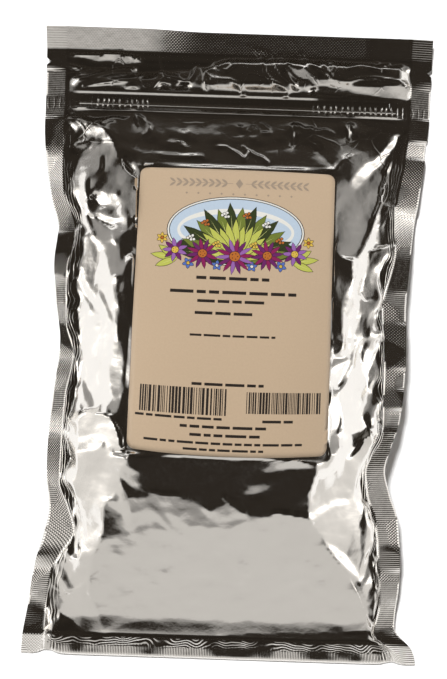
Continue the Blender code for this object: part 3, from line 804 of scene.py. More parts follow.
def to_label(u, v):
    """Places on the label, from its middle, of flat places."""
    along, up = u - LABEL_CENTRE[0], v - LABEL_CENTRE[1]
    cos, sin = math.cos(LABEL_TURN), math.sin(LABEL_TURN)
    return along * cos + up * sin, up * cos - along * sin


def from_label(a, b):
    """Flat places of places on the label."""
    cos, sin = math.cos(LABEL_TURN), math.sin(LABEL_TURN)
    return LABEL_CENTRE[0] + a * cos - b * sin, LABEL_CENTRE[1] + a * sin + b * cos


def noise(seed, size, across, up):
    """Smooth noise of unit strength whose lumps are about this many millimetres across."""
    rng = np.random.default_rng(seed)
    step = size / LUMP_POINTS
    wide = np.arange(-FLAT_WIDTH / 2 - size, FLAT_WIDTH / 2 + size, step)
    tall = np.arange(-size, FLAT_LENGTH + size, step)
    field = blur(rng.normal(0, 1, (1, len(tall), len(wide), 1)), LUMP_BLUR)
    return resample(field / field.std(), wide, tall, across, up)[0, :, :, 0]


def creased(field, bands):
    """0 to 1, with a sharp crease wherever the field passes a whole number of bands."""
    return np.abs(np.mod(field * bands, 2) - 1)


def crease_heights(x, y, creases):
    """Thin ridges along bent lines."""
    height = np.zeros_like(x)
    for crease in creases:
        points = pairs(crease)
        nearest = np.full_like(x, CREASE_WIDTH)
        for (x0, y0), (x1, y1) in zip(points, points[1:]):
            dx, dy = x1 - x0, y1 - y0
            along = np.clip(((x - x0) * dx + (y - y0) * dy) / (dx * dx + dy * dy), 0, 1)
            nearest = np.minimum(nearest, np.hypot(x - x0 - along * dx, y - y0 - along * dy))
        height += CREASE_RISE * (1 - nearest / CREASE_WIDTH)
    return height


def inside_outline(x, y, corners):
    """True where places lie inside a closed outline."""
    inside = np.zeros(x.shape, bool)
    for (x0, y0), (x1, y1) in zip(corners, corners[1:] + corners[:1]):
        if y0 != y1:
            inside ^= ((y0 > y) != (y1 > y)) & (x < x0 + (x1 - x0) * (y - y0) / (y1 - y0))
    return inside


def tilt_facets(film, held, level, facets):
    """Tilt the film's facets, and ease the film between them with as little change as that takes."""
    slope = np.zeros(film.shape[:2] + (2,))
    weight = np.full(film.shape[:2], FREE_WEIGHT)
    for face, tilt, *corners in facets:
        inside = inside_outline(film[..., 0], film[..., 1], pairs(corners))
        fall = math.tan(math.radians(tilt))
        slope[inside] = -fall * math.cos(math.radians(face)), -fall * math.sin(math.radians(face))
        weight[inside] = 1
    slope[level] = 0
    weight[level] = 1
    ends = ((np.s_[:-1], np.s_[1:]), (np.s_[:, :-1], np.s_[:, 1:]))
    hold = np.where(held, HELD_WEIGHT, FREE_REACH**-2)
    weights, wanted = [], []
    for axis, (low, high) in enumerate(ends):
        step = np.diff(film, axis=axis)
        share = np.minimum(weight[low], weight[high])
        off = ((slope[low] + slope[high]) / 2 * step[..., :2]).sum(-1) - step[..., 2]
        weights.append(share)
        wanted.append(np.where(share == 1, off, 0))

    def gathered(flows):
        """What the links between neighbours bring to each point."""
        total = np.zeros(film.shape[:2])
        for flow, share, (low, high) in zip(flows, weights, ends):
            total[low] -= share * flow
            total[high] += share * flow
        return total

    change = np.zeros(film.shape[:2])
    rest = gathered(wanted)
    way = rest.copy()
    size = (rest * rest).sum()
    for _ in range(FACET_STEPS):
        moved = hold * way + gathered([np.diff(way, axis=axis) for axis in (0, 1)])
        reach = size / (way * moved).sum()
        change += reach * way
        rest -= reach * moved
        size, before = (rest * rest).sum(), size
        way = rest + size / before * way
    film[..., 2] += change


def pocket_widths(u, v):
    """How far in from each side seam the film lies level: nothing at a pinch, most between two."""
    fullness = np.zeros_like(v)
    for pinches, side in ((LEFT_PINCHES, u < 0), (RIGHT_PINCHES, u >= 0)):
        places = np.array(pinches, float)
        i = np.clip(np.searchsorted(places, v) - 1, 0, len(places) - 2)
        share = np.clip((v - places[i]) / (places[i + 1] - places[i]), 0, 1)
        fullness = np.where(side, np.sin(np.pi * share) ** SPINDLE_ROUND, fullness)
    return SPINDLE_WIDTH * fullness


def zip_relief(u, v):
    """The front film over the zip: a step up into the header, and two fine ridges under it."""
    inner = smooth_step(*ZIP_IN, INNER_HALF - np.abs(u))
    low_end = 1 - ZIP_LOW_LOSS * smooth_step(*ZIP_LOW_END, u)
    rise = np.clip((v - ZIP_HIGH + ZIP_STEP_START) / ZIP_STEP_WIDTH, 0, 1)
    step = ZIP_STEP * low_end * rise * (1 - smooth_step(*ZIP_STEP_FADE, v))
    ridges = sum(np.clip(height - np.abs(v - place), 0, None) for place, height in ZIP_RIDGES)
    return inner * (step + ridges)


def bottom_and_ears(layers, u, v):
    """Lift the ears at the bottom corners, dent the edge beside them, and lift the seal above its lip."""
    out = np.abs(u)
    in_seal = 1 - smooth_step(SEAL - 1, SEAL + 1, v)
    ear = smooth_step(*EAR_ACROSS, out) * np.where(v < SEAL, v / SEAL, 1 - smooth_step(SEAL, EAR_TOP, v))
    beside_ear = np.exp(-(((out - DENT_ACROSS) / DENT_WIDTH) ** 2))
    dent = np.where(u < 0, LEFT_DENT, RIGHT_DENT) * beside_ear * in_seal * (1 - v / SEAL).clip(0, 1)
    lip = SEAL_LIP * smooth_step(0, LIP_WIDTH, v) * in_seal * (1 - smooth_step(*LIP_ENDS, out))
    layers[..., 1] += dent
    crushed = BOTTOM_RISE * np.clip(v / SEAL, 0, 1) * (1 - smooth_step(SEAL, SEAL + BOTTOM_EASE, v))
    layers[..., 2] += EAR_LIFT * ear + lip + crushed


def relief(inside, v, across, up, film, off_label):
    """Lumps, crumple and creases of the front film, as a height above it."""
    body = smooth_step(*LUMPS_IN, inside) * band(*LUMPS_LOW, *LUMPS_HIGH, v)
    lumps = sum(rise * noise(i, size, across, up) for i, (size, rise) in enumerate(LUMPS))
    crumple = creased(noise(CRUMPLE_SEED, CRUMPLE_SIZE, across, up), CRUMPLE_BANDS)
    on_shoulder = band(*CRUMPLED_SHOULDER, v)
    crumpled = CRUMPLE * (band(*CRUMPLED_HEADER, v) + SHOULDER_CRUMPLE * on_shoulder)
    crumpled *= smooth_step(*CRUMPLE_IN, inside)
    creases = crease_heights(film[..., 0], film[..., 1], CREASES) * (1 - SHOULDER_CREASE_LOSS * on_shoulder)
    share = LUMPS_UNDER_LABEL + (1 - LUMPS_UNDER_LABEL) * off_label
    lift = lumps * body * share + crumpled * (crumple - 0.5)
    return lift + creases * smooth_step(*CREASE_IN, inside), body


def shape_film(layers, across, up):
    """The finished films: the solved sheets where they are free, with the seals, folds and lumps added."""
    u, v = notched(across, up)
    target = target_form(u, v)
    facing = blur(outward(target), FACING_BLUR)
    inside = INNER_HALF - np.abs(u)
    past_label = label_distance(u, v)
    off_label = smooth_step(*LABEL_EASE, past_label)
    solved = smooth_step(*SOLVED_IN, inside) * smooth_step(*SOLVED_LOW, v)
    solved = solved * (1 - smooth_step(*SOLVED_HIGH, v)) * (1 - CALMING * smooth_step(*SOLVED_CALMER, v))
    film = target + (layers - target) * np.stack([solved * off_label, solved])[..., None]
    film[0, ..., 2] += zip_relief(u, v)
    puff = smooth_step(*PUFF_FROM_ZIP, v) * smooth_step(*PUFF_FROM_SEAL, FLAT_LENGTH - SEAL - v)
    puff = puff * smooth_step(*PUFF_IN, inside)
    film[0, ..., 2] += HEADER_PUFF * puff

    sealed = (inside < HELD_BY_SEAL) | (v < SEAL + HELD_BY_SEAL) | (v > FLAT_LENGTH - SEAL - HELD_BY_SEAL)
    held = sealed | (past_label < HELD_BY_LABEL) | (np.abs(v - (ZIP_LOW + ZIP_HIGH) / 2) < HELD_BY_ZIP)
    pockets = (inside > 0) & (inside < pocket_widths(u, v))
    tilt_facets(film[0], held, pockets, FACETS)

    lift, body = relief(inside, v, across, up, film[0], off_label)
    film[0] += facing[0] * lift[..., None]
    back_lumps = sum(
        BACK_LUMPS * rise * noise(BACK_SEED + i, size, across, up) for i, (size, rise) in enumerate(LUMPS)
    )
    film[1] += facing[1] * (back_lumps * body)[..., None]
    curl = TOP_CURL * (1 - CURL_LOSS * smooth_step(*CURL_FADE, u))
    film[..., 2] += curl * np.maximum(v - FLAT_LENGTH + SEAL, 0)
    bottom_and_ears(film, u, v)
    film[0, ..., 2] = np.maximum(film[0, ..., 2], film[1, ..., 2] + FILM_GAP + HEADER_GAP * puff)
    film[..., 2] = np.maximum(film[..., 2], FLOOR_CLEARANCE)
    return film, np.stack([u, v], -1)


def skipped(count, step):
    """Every so many of a row of places, with the last one."""
    return np.unique(np.append(np.arange(0, count, step), count - 1))


def keep_flat_places(mesh, places):
    """Give each corner of a mesh its place on the flat pouch, in metres, for the materials."""
    uv = mesh.uv_layers.new(name="flat")
    corners = np.zeros(len(mesh.loops), int)
    mesh.loops.foreach_get("vertex_index", corners)
    uv.data.foreach_set("uv", places[corners].ravel())


def shell_mesh(name, film, flat):
    """One closed skin from both films, welded round the outline. The back has fewer points."""
    rows, columns = flat.shape[:2]
    kept_up, kept_across = skipped(rows, BACK_ROWS), skipped(columns, BACK_COLUMNS)
    front = np.arange(rows * columns).reshape(rows, columns)
    back = rows * columns + np.arange(len(kept_up) * len(kept_across)).reshape(len(kept_up), len(kept_across))
    some = np.ix_(kept_up, kept_across)
    points = np.vstack([film[0].reshape(-1, 3), film[1][some].reshape(-1, 3)]) * MM
    places = np.vstack([flat.reshape(-1, 2), flat[some].reshape(-1, 2)]) * MM

    def quads(ids):
        return np.stack([ids[:-1, :-1], ids[:-1, 1:], ids[1:, 1:], ids[1:, :-1]], -1).reshape(-1, 4)

    faces = quads(front).tolist() + quads(back)[:, ::-1].tolist()
    for edge, back_edge, kept, outwards in (
        (front[:, 0], back[:, 0], kept_up, 1),
        (front[:, -1], back[:, -1], kept_up, -1),
        (front[0], back[0], kept_across, -1),
        (front[-1], back[-1], kept_across, 1),
    ):
        for i in range(len(kept) - 1):
            ring = edge[kept[i] : kept[i + 1] + 1].tolist() + back_edge[i : i + 2].tolist()[::-1]
            faces.append(ring[::outwards])
    mesh = bpy.data.meshes.new(name)
    mesh.from_pydata(points.tolist(), [], faces)
    keep_flat_places(mesh, places)
    mesh.shade_smooth()
    mesh.set_sharp_from_angle(angle=HEM_ANGLE)
    return mesh


def ellipse(centre, half_width, half_height, count):
    """An ellipse of this many corners."""
    turn = np.arange(count) * 2 * math.pi / count
    return [(centre[0] + half_width * math.cos(t), centre[1] + half_height * math.sin(t)) for t in turn]


def bar(left, right, low, high):
    """An upright rectangle."""
    return [(left, low), (right, low), (right, high), (left, high)]


def leaf(base, angle, length, width, count=6):
    """A pointed leaf or petal that grows from its base at this angle in degrees."""
    dx, dy = math.cos(math.radians(angle)), math.sin(math.radians(angle))
    places = [(t / count, width / 2 * math.sin(math.pi * t / count) ** 0.8) for t in range(count)]
    outline = [(t, -side) for t, side in places] + [(1, 0)] + places[:0:-1]
    return [(base[0] + t * length * dx - s * dy, base[1] + t * length * dy + s * dx) for t, s in outline]


def edged_leaf(base, angle, length, width, ink):
    """A leaf with a dark outline and a light rib."""
    back = math.radians(angle)
    root = (base[0] - OUTLINE * math.cos(back), base[1] - OUTLINE * math.sin(back))
    yield "line", leaf(root, angle, length + 2.5 * OUTLINE, width + 2 * OUTLINE)
    yield ink, leaf(base, angle, length, width)
    yield "rib", leaf(base, angle, 0.8 * length, 0.07 * width, 2)


def daisy(centre, radius, petals, inks, heart, turn):
    """A flower of pointed petals, each outlined, round a dotted heart."""
    for i in range(petals):
        angle = turn + 360 * i / petals
        width = 2.9 * radius / petals
        yield "line", leaf(centre, angle, radius + OUTLINE, width + 1.4 * OUTLINE, 4)
        yield inks[i % len(inks)], leaf(centre, angle, radius, width, 4)
    yield "line", ellipse(centre, 0.27 * radius + OUTLINE, 0.27 * radius + OUTLINE, 12)
    yield heart, ellipse(centre, 0.27 * radius, 0.27 * radius, 12)
    for i in range(5):
        angle = math.radians(72 * i)
        dot = (centre[0] + 0.15 * radius * math.cos(angle), centre[1] + 0.15 * radius * math.sin(angle))
        yield "line", ellipse(dot, 0.035 * radius, 0.035 * radius, 5)


def berries(centre, reach, count, ink):
    """A round cluster of small discs."""
    for i in range(count):
        angle, far = 2.4 * i, reach * math.sqrt(i / count)
        spot = (centre[0] + far * math.cos(angle), centre[1] + far * math.sin(angle))
        yield "line", ellipse(spot, 0.95, 0.95, 8)
        yield ink, ellipse(spot, 0.7, 0.7, 8)


def medallion():
    """An oval with a fan of leaves in it, and a garland of flowers along its foot."""
    for ink, half_width, half_height in MEDALLION_RINGS:
        yield ink, ellipse(MEDALLION_CENTRE, half_width, half_height, 48)
    yield "dark_green", ellipse((0, 31), 30.5, 8.5, 36)
    foot_x, foot_y = MEDALLION_FOOT
    for i in range(14):
        length = 30.5 + 1.5 * math.sin(3 * i)
        yield from edged_leaf(MEDALLION_FOOT, 9 + 162 * i / 13, length, 6.4, ("green", "dark_green")[i % 2])
    for i in range(13):
        angle = 15 + 150 * i / 12
        yield from edged_leaf(MEDALLION_FOOT, angle, 21 + 2 * math.cos(2 * i), 4.2, "leaf_light")
    for i in range(6):
        angle = math.radians(27 + 126 * i / 5)
        spot = (foot_x + BERRY_ARC * math.cos(angle), foot_y + BERRY_ARC * math.sin(angle))
        yield from berries(spot, 2.0, 6, ("orange", "white")[i % 2])
    for side in (-1, 1):
        tilt = 90 - 90 * side
        for angle, length in ((8, 14), (-22, 12), (34, 12)):
            yield from edged_leaf((side * 29, 25), tilt + side * angle, length, 3.6, "leaf_light")
        for across, height, radius, petals, inks, heart, turn in SIDE_DAISIES:
            yield from daisy((side * across, height), radius, petals, inks, heart, turn)
        yield from berries((side * 9.5, 33.5), 1.9, 6, "yellow")
    yield from daisy((0, 27), 10.0, 14, ("plum", "lilac", "purple"), "orange", 5)


def laurel(left, right, height, size):
    """A plain row of small leaves in pairs along a stem, from both ends towards a lozenge."""
    centre = (left + right) / 2
    yield "taupe", bar(left, centre - size, height - 0.14, height + 0.14)
    yield "taupe", bar(centre + size, right, height - 0.14, height + 0.14)
    count = round((right - left) / 2 / (1.05 * size)) - 1
    for i in range(count):
        for side in (-1, 1):
            spot = (centre + side * (1.9 * size + 1.05 * size * i), height)
            for lean in (-38, 38):
                yield "taupe", leaf(spot, 90 - 90 * side + lean, 1.25 * size, 0.42 * size)
    yield "taupe", ellipse((centre, height), 0.6 * size, 0.9 * size, 4)


def dashes(rng, left, right, height, size):
    """A row of plain dashes of uneven length."""
    start = left
    while start < right - size:
        end = min(start + size * rng.uniform(1.6, 5.0), right)
        yield "line", bar(start, end, height - 0.34 * size, height + 0.34 * size)
        start = end + 0.65 * size


def stripes(rng, left, right, low, high, thin):
    """Upright stripes of random width, which encode nothing."""
    start = left
    while start < right:
        end = min(start + thin * rng.choice([1, 1, 2, 3]), right)
        yield "line", bar(start, end, low, high)
        start = end + thin * rng.choice([1, 1, 2])


def label_print():
    """Everything printed on the label, later shapes over earlier ones, as (ink, outline) from its middle."""
    rng = np.random.default_rng(PRINT_SEED)
    yield from laurel(-31, 33, 68, 3.2)
    for place in np.linspace(-26, 28, 10):
        yield "taupe", ellipse((place, 61.8), 0.7, 0.7, 4)
    yield from medallion()
    for left, right, height, size in DASH_ROWS:
        yield from dashes(rng, left, right, height, size)
    for left, right, low, high, thin in STRIPE_BLOCKS:
        yield from stripes(rng, left, right, low, high, thin)


def label_outline():
    """The label's rounded rectangle."""
    half_width, half_length = LABEL_WIDTH / 2, LABEL_LENGTH / 2
    points = []
    for quarter, (x, y) in enumerate(((1, 1), (-1, 1), (-1, -1), (1, -1))):
        for step in range(6):
            turn = math.radians(90 * quarter + 18 * step)
            points.append((
                x * (half_width - LABEL_CORNER) + LABEL_CORNER * math.cos(turn),
                y * (half_length - LABEL_CORNER) + LABEL_CORNER * math.sin(turn),
            ))
    return points


def sample(field, across, up, u, v):
    """Values of a grid field between its grid lines."""
    i = np.clip(np.searchsorted(across, u) - 1, 0, len(across) - 2)
    j = np.clip(np.searchsorted(up, v) - 1, 0, len(up) - 2)
    s = ((u - across[i]) / (across[i + 1] - across[i]))[:, None]
    t = ((v - up[j]) / (up[j + 1] - up[j]))[:, None]
    low = field[j, i] * (1 - s) + field[j, i + 1] * s
    high = field[j + 1, i] * (1 - s) + field[j + 1, i + 1] * s
    return low * (1 - t) + high * t


def label_mesh(front, across, up):
    """The label's sheet, cut along the edges of its print, lying on the front film."""
    outline = label_outline()
    points = [Vector(point) for point in outline]
    faces = [list(range(len(outline)))]
    inks = ["paper"]
    edges = []
    half = (LABEL_WIDTH / 2, LABEL_LENGTH / 2)
    for axis, (reach, other) in enumerate((half, half[::-1])):
        for place in np.arange(LABEL_CELL - reach, reach, LABEL_CELL):
            past = max(abs(place) - reach + LABEL_CORNER, 0)
            end = other - LABEL_CORNER + math.sqrt(LABEL_CORNER**2 - past**2) - LABEL_MARGIN
            edges.append([len(points), len(points) + 1])
            points += [Vector((place, side * end) if axis == 0 else (side * end, place)) for side in (-1, 1)]
    for ink, shape in label_print():
        faces.append(list(range(len(points), len(points) + len(shape))))
        points += [Vector(point) for point in shape]
        inks.append(ink)
    cut, _, pieces, _, _, owners = delaunay_2d_cdt(points, edges, faces, 0, LABEL_MERGE, True)
    place = np.array([tuple(point) for point in cut])
    u, v = from_label(place[:, 0], place[:, 1])
    normal = blur(outward(np.stack([front, front]))[:1], LABEL_BLUR)[0]
    film = sample(front, across, up, u, v) + LABEL_LIFT * sample(normal, across, up, u, v)
    mesh = bpy.data.meshes.new("label_sheet")
    mesh.from_pydata((film * MM).tolist(), [], [face for face, owner in zip(pieces, owners) if owner])
    names = sorted(set(inks))
    chosen = [names.index(inks[max(owner)]) for owner in owners if owner]
    for name in names:
        mesh.materials.append(make_ink(name))
    mesh.polygons.foreach_set("material_index", chosen)
    keep_flat_places(mesh, np.stack([u, v], -1) * MM)
    mesh.shade_smooth()
    return mesh


class Graph:
    """Short calls that add nodes to one node tree."""

    def __init__(self, tree):
        self.tree = tree

    def add(self, kind, *inputs, **settings):
        node = self.tree.nodes.new("ShaderNode" + kind)
        for key, value in settings.items():
            setattr(node, key, value)
        for socket, value in zip(node.inputs, inputs):
            self.put(socket, value)
        return node

    def put(self, socket, value):
        if isinstance(value, bpy.types.NodeSocket):
            self.tree.links.new(value, socket)
        elif value is not None:
            colour = socket.type == "RGBA" and len(value) == 3
            socket.default_value = (*value, 1) if colour else value

    def maths(self, operation, *inputs):
        return self.add("Math", *inputs, operation=operation).outputs[0]

    def product(self, first, *others):
        for other in others:
            first = self.maths("MULTIPLY", first, other)
        return first

    def fade(self, value, low, high, start=0.0, end=1.0):
        """A smooth change from start to end as the value goes from low to high."""
        node = self.add("MapRange", value, low, high, start, end, interpolation_type="SMOOTHSTEP")
        return node.outputs[0]

    def band(self, value, foot, start, end, head):
        """1 between start and end, with a smooth change down to 0 at foot and head."""
        return self.product(self.fade(value, foot, start), self.fade(value, head, end))

    def waves(self, value, pitch):
        """0 to 1 and back, once in each pitch."""
        sine = self.maths("SINE", self.maths("MULTIPLY", value, 2 * math.pi / pitch))
        return self.maths("MULTIPLY_ADD", sine, 0.5, 0.5)

    def noise(self, place, scale, detail=2.0, roughness=0.5):
        node = self.add("TexNoise", place)
        self.put(node.inputs["Scale"], scale)
        self.put(node.inputs["Detail"], detail)
        self.put(node.inputs["Roughness"], roughness)
        return node.outputs[0]

    def mix(self, share, a, b, kind="RGBA"):
        node = self.add("Mix", data_type=kind)
        for socket, value in zip([socket for socket in node.inputs if socket.enabled], (share, a, b)):
            self.put(socket, value)
        return [socket for socket in node.outputs if socket.enabled][0]

    def bump(self, height, distance, normal=None):
        node = self.add("Bump")
        self.put(node.inputs["Distance"], distance)
        self.put(node.inputs["Height"], height)
        self.put(node.inputs["Normal"], normal)
        return node.outputs[0]


def new_material(name):
    """A new material, with its node tree and its shader's sockets."""
    material = bpy.data.materials.new(name)
    material.use_nodes = True
    return material, Graph(material.node_tree), material.node_tree.nodes["Principled BSDF"].inputs


def flat_places(graph):
    """Flat places in millimetres: across, its size without sign, up, and both as a vector."""
    scaled = graph.add("VectorMath", graph.add("UVMap", uv_map="flat").outputs[0], operation="SCALE")
    scaled.inputs["Scale"].default_value = 1 / MM
    parts = graph.add("SeparateXYZ", scaled.outputs[0])
    return parts.outputs[0], graph.maths("ABSOLUTE", parts.outputs[0]), parts.outputs[1], scaled.outputs[0]


def seal_pattern(graph, across, out, up, place):
    """The heat seals' embossing: a diagonal hatch that gives way to ribs along some stretches."""
    diagonal = graph.product(
        graph.waves(graph.maths("ADD", across, up), HATCH_PITCH),
        graph.waves(graph.maths("SUBTRACT", across, up), HATCH_PITCH),
    )
    level_ribs = graph.waves(up, RIB_PITCH)
    upright_ribs = graph.waves(across, BOTTOM_RIB_PITCH)
    side = graph.fade(out, INNER_HALF - BEFORE_SEAL, INNER_HALF + PAST_SEAL)
    top = graph.fade(up, FLAT_LENGTH - SEAL - BEFORE_SEAL, FLAT_LENGTH - SEAL + PAST_SEAL)
    bottom = graph.fade(up, SEAL, SEAL - 1.0)

    wander = graph.maths("MULTIPLY_ADD", graph.noise(place, 0.07, 1.0), CRUSHED_WANDER, up)
    wavy = graph.waves(wander, CRUSHED_PITCH)
    rough = graph.fade(graph.noise(place, 0.045, 2.0), *CRUSHED_NOISE, *CRUSHED_DEPTH)
    crushed = graph.product(graph.mix(graph.fade(up, *CRUSHED_UP), upright_ribs, wavy, "FLOAT"), rough)
    ends = graph.mix(bottom, diagonal, crushed, "FLOAT")
    ends = graph.mix(graph.product(top, graph.fade(across, *RIBBED_TOP)), ends, upright_ribs, "FLOAT")
    patchy = graph.fade(graph.noise(place, 0.035, 1.0), *RIBBED_NOISE)
    ribbed = graph.maths("MAXIMUM", patchy, graph.fade(up, *RIBBED_SIDE))
    sides = graph.mix(ribbed, diagonal, level_ribs, "FLOAT")
    pattern = graph.mix(side, ends, sides, "FLOAT")

    smooth_corner = graph.product(top, graph.fade(across, *SMOOTH_TOP))
    sealed = graph.maths("MAXIMUM", side, graph.maths("MAXIMUM", top, bottom))
    return graph.product(pattern, graph.product(sealed, graph.fade(smooth_corner, 0, 1, 1, SMOOTH_SHARE)))


def crease_lines(graph, place, cell, width, low, high):
    """A broken net of fine creases."""
    bent = graph.add("VectorMath", place, operation="ADD")
    wander = graph.add("TexNoise", place)
    wander.inputs["Scale"].default_value = 0.6 / cell
    shift = graph.add("VectorMath", wander.outputs[1], (cell, cell, 0), operation="MULTIPLY")
    graph.put(bent.inputs[1], shift.outputs[0])
    net = graph.add("TexVoronoi", bent.outputs[0], feature="DISTANCE_TO_EDGE")
    net.inputs["Scale"].default_value = 1 / cell
    line = graph.fade(net.outputs["Distance"], 0.0, width / cell, 1.0, 0.0)
    return graph.product(line, graph.fade(graph.noise(place, 0.5 / cell, 1.0), low, high))


def seam_strands(graph, out, up, place):
    """Fine strands along the inner edges of the side seals."""
    wander = graph.maths("MULTIPLY_ADD", graph.noise(place, 0.08, 1.0), STRAND_WANDER, out)
    strands = graph.maths("POWER", graph.waves(wander, STRAND_PITCH), STRAND_SHARPNESS)
    return graph.product(strands, graph.product(graph.band(out, *STRANDS_OUT), graph.band(up, *STRANDS_UP)))


def zip_ticks(graph, across, up, place):
    """Short upright ticks across the zip, strong near its ends."""
    wander = graph.maths("MULTIPLY_ADD", graph.noise(place, 0.2, 1.0), TICK_WANDER, across)
    ticks = graph.maths("POWER", graph.waves(wander, TICK_PITCH), TICK_SHARPNESS)
    ticked = graph.maths("ADD", graph.band(across, *LEFT_TICKS), graph.band(across, *RIGHT_TICKS))
    strength = graph.product(graph.band(up, *TICKS_UP), graph.fade(ticked, 0, 1, FAINT_TICKS, 1))
    return graph.product(ticks, strength)


def make_foil():
    """Mirror-bright metallised film: embossed seals, fine creases and a slight unevenness."""
    material, graph, shader = new_material("metallised_film")
    across, out, up, place = flat_places(graph)
    beside_zip = graph.maths("ADD", graph.band(up, *CREASED_HEADER), graph.band(up, *CREASED_SHOULDER))
    crumpled = graph.product(graph.fade(out, INNER_HALF - 0.5, INNER_HALF - 3), beside_zip)

    normal = graph.bump(seal_pattern(graph, across, out, up, place), EMBOSSING * MM)
    for cell, width, low, high, depth in CREASE_NETS:
        lines = graph.product(crease_lines(graph, place, cell, width, low, high), crumpled)
        normal = graph.bump(lines, depth * MM, normal)
    normal = graph.bump(seam_strands(graph, out, up, place), STRAND_DEPTH * MM, normal)
    normal = graph.bump(zip_ticks(graph, across, up, place), TICK_DEPTH * MM, normal)
    normal = graph.bump(graph.noise(place, 0.22, 2.0), DIMPLE_DEPTH * MM, normal)

    graph.put(shader["Base Color"], graph.mix(graph.noise(place, 0.03, 3.0), *FOIL_TINTS))
    shader["Metallic"].default_value = 1
    graph.put(shader["Roughness"], graph.fade(graph.noise(place, 0.6, 3.0), 0.3, 0.7, *FOIL_ROUGHNESS))
    graph.put(shader["Normal"], normal)
    return material


def make_ink(name):
    """Satin label paper in one of the print's colours, a little mottled."""
    material, graph, shader = new_material("label_" + name)
    place = flat_places(graph)[3]
    colour = [((channel / 255 + 0.055) / 1.055) ** 2.4 * LABEL_EXPOSURE for channel in INKS[name]]
    mottle = graph.noise(place, 0.9, 4.0, 0.6)
    graph.put(shader["Base Color"], graph.mix(mottle, [0.93 * c for c in colour], [1.07 * c for c in colour]))
    shader["Roughness"].default_value = PAPER_ROUGHNESS
    graph.put(shader["Normal"], graph.bump(graph.noise(place, 2.5, 3.0), PAPER_GRAIN * MM))
    return material


def make_plastic(nodes):
    """Milky satin plastic on the zip's two strips, inside the pouch."""
    material, graph, shader = new_material("zip_plastic")
    place = graph.add("TexCoord").outputs["Object"]
    cloud = graph.noise(place, 120.0, 3.0)
    graph.put(shader["Base Color"], graph.mix(cloud, *PLASTIC_TINTS))
    graph.put(shader["Roughness"], graph.fade(cloud, 0.3, 0.7, *PLASTIC_ROUGHNESS))
    for name in ("zip_ridge_strip", "zip_groove_strip"):
        nodes[name].data.materials[0] = material


def make_root(nodes):
    """Dry, fibrous cut root, inside the pouch."""
    material, graph, shader = new_material("cut_root")
    place = graph.add("TexCoord").outputs["Object"]
    chips = graph.add("TexVoronoi", place)
    chips.inputs["Scale"].default_value = 140.0
    fibre = graph.noise(place, 900.0, 4.0, 0.7)
    tone = graph.mix(graph.add("SeparateXYZ", chips.outputs["Color"]).outputs[0], *ROOT_TINTS)
    graph.put(shader["Base Color"], graph.mix(graph.fade(fibre, 0.3, 0.7), tone, ROOT_FIBRE))
    shader["Roughness"].default_value = MATT
    normal = graph.bump(chips.outputs["Distance"], CHIP_DEPTH * MM)
    graph.put(shader["Normal"], graph.bump(fibre, FIBRE_DEPTH * MM, normal))
    nodes["root_filling"].data.materials[0] = material


def pressed_filling(node, film):
    """The cut root, pressed down to lie under the front film."""
    mesh = node.data.copy()
    mesh.name = "pressed_root_filling"
    for vertex in mesh.vertices:
        x, y, z = vertex.co / MM
        near = np.hypot(film[0, ..., 0] - x, film[0, ..., 1] - y) < PRESS_REACH
        vertex.co.z = min(z, film[0, ..., 2][near].min() - PRESS_GAP) * MM
    return mesh


def add_piece(mesh, slot, *nodes):
    """Put a mesh in the scene as a piece of its own, in place of these nodes."""
    piece = bpy.data.objects.new(mesh.name, mesh)
    bpy.context.scene.collection.objects.link(piece)
    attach(piece, "root")
    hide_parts(*nodes)
    return piece


def make_world():
    """A dark ceiling over a ring of side light: white at the sides, light grey towards the pouch's
    bottom end and mid grey beyond its zip, where the ceiling also reaches lower. Between ring and
    ceiling lies mid grey."""
    world = bpy.data.worlds.new("studio")
    bpy.context.scene.world = world
    world.use_nodes = True
    graph = Graph(world.node_tree)
    direction = graph.add("TexCoord").outputs["Generated"]
    x, y, z = graph.add("SeparateXYZ", direction).outputs
    sideways = graph.add("CombineXYZ", x, y, 0.0).outputs[0]
    level = graph.add("VectorMath", sideways, operation="NORMALIZE").outputs[0]
    heading = graph.add("SeparateXYZ", level).outputs[1]
    half = graph.maths("MULTIPLY_ADD", heading, 0.5, 0.5)

    def ramp(value, stops, tints=WARMTH):
        """Tinted tones at these places of a value."""
        node = graph.add("ValToRGB", value)
        elements = node.color_ramp.elements
        while len(elements) < len(stops):
            elements.new(0.5)
        for element, (place, tone) in zip(elements, stops):
            element.position = place
            element.color = tuple(tone * tint for tint in tints) + (1,)
        return node.outputs[0]

    sides = ramp(half, SIDE_TONES)
    ceiling = ramp(z, CEILING_TONES, DARK_WARMTH)
    ring = ramp(half, RING_TONES)
    zip_end = graph.maths("POWER", graph.maths("MAXIMUM", heading, 0.0), 2.0)
    raised = graph.maths("MULTIPLY_ADD", zip_end, ZIP_END_DARK, z)
    lower = graph.mix(graph.fade(raised, *RING_FOOT), sides, ring)
    sky = graph.mix(graph.fade(raised, *RING_HEAD), lower, ceiling)
    graph.put(world.node_tree.nodes["Background"].inputs[0], sky)


def make_lights():
    """A soft key light for the label and the floor. The foil mirrors the studio alone."""
    light = bpy.data.lights.new("soft key", "SUN")
    light.energy = SUN_STRENGTH
    light.angle = math.radians(SUN_SPREAD)
    lamp = bpy.data.objects.new("soft key", light)
    lamp.rotation_euler = Vector(SUN_FROM).to_track_quat("Z", "Y").to_euler()
    lamp.visible_glossy = False
    bpy.context.scene.collection.objects.link(lamp)


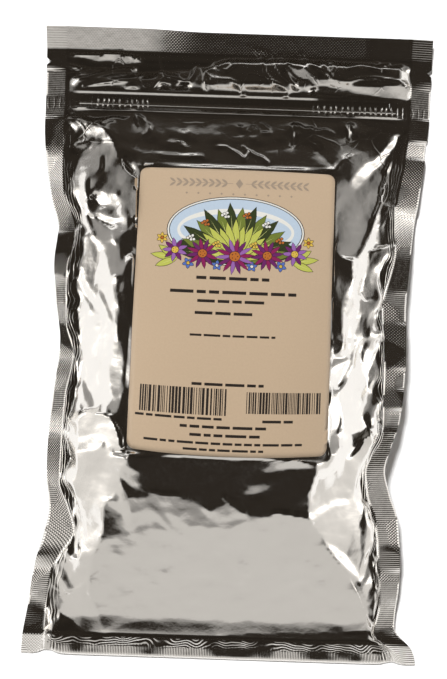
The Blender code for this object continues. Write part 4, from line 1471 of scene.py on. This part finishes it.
def make_floor():
    """A wide, plain white table just under the pouch."""
    mesh = bpy.data.meshes.new("floor")
    bm = bmesh.new()
    bmesh.ops.create_grid(bm, x_segments=1, y_segments=1, size=FLOOR_HALF)
    bm.to_mesh(mesh)
    bm.free()
    material, graph, shader = new_material("white_table")
    cloud = graph.noise(graph.add("TexCoord").outputs["Object"], 3.0, 2.0)
    graph.put(shader["Base Color"], graph.mix(cloud, *FLOOR_TINTS))
    shader["Roughness"].default_value = MATT
    mesh.materials.append(material)
    floor = bpy.data.objects.new("floor", mesh)
    floor.location.z = -FLOOR_DROP * MM
    bpy.context.scene.collection.objects.link(floor)
    floor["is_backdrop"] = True


def make_camera():
    """A long lens straight above the pouch, turned a little."""
    data = bpy.data.cameras.new("camera")
    data.lens = CAMERA_LENS
    data.sensor_width = data.sensor_height = CAMERA_SENSOR
    camera = bpy.data.objects.new("camera", data)
    bpy.context.scene.collection.objects.link(camera)
    back = Vector((0, -math.cos(CAMERA_ELEVATION), math.sin(CAMERA_ELEVATION)))
    upright = Vector((-math.sin(CAMERA_ROLL), math.cos(CAMERA_ROLL), 0))
    right = upright.cross(back).normalized()
    turn = Matrix((right, back.cross(right), back)).transposed().to_4x4()
    camera.matrix_world = Matrix.Translation(Vector(CAMERA_TARGET) + CAMERA_DISTANCE * back) @ turn
    bpy.context.scene.camera = camera


def write_sizes(packed_box):
    """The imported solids' box and the dressed pouch's box, in metres."""
    boxes = {"packed": packed_box, "dressed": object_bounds()}
    {name: [list(corner) for corner in box] for name, box in boxes.items()}


def build(nodes):
    """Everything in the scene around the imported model."""
    bpy.context.scene.view_settings.view_transform = "Standard"
    make_camera()
    make_world()
    make_lights()
    make_floor()
    make_plastic(nodes)
    make_root(nodes)

    layers, across, up = solve_film()
    fine = mesh_grid()
    film, flat = shape_film(resample(layers, across, up, *fine), *fine)
    add_piece(pressed_filling(nodes["root_filling"], film), "cut_root", "root_filling")
    pouch = shell_mesh("foil_pouch", film, flat)
    pouch.materials.append(make_foil())
    add_piece(pouch, "foil", "front_panel", "back_panel")

    label = add_piece(label_mesh(film[0], *fine), "label_paper", "label")
    thickness = label.modifiers.new("thickness", "SOLIDIFY")
    thickness.thickness = LABEL_THICKNESS * MM
    thickness.offset = -1


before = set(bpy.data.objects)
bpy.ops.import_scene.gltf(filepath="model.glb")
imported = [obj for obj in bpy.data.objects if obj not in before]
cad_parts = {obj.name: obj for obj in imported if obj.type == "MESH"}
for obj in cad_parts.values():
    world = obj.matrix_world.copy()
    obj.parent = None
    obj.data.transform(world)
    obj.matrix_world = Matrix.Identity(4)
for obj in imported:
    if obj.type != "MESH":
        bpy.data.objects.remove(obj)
packed_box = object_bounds()
build(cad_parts)
write_sizes(packed_box)
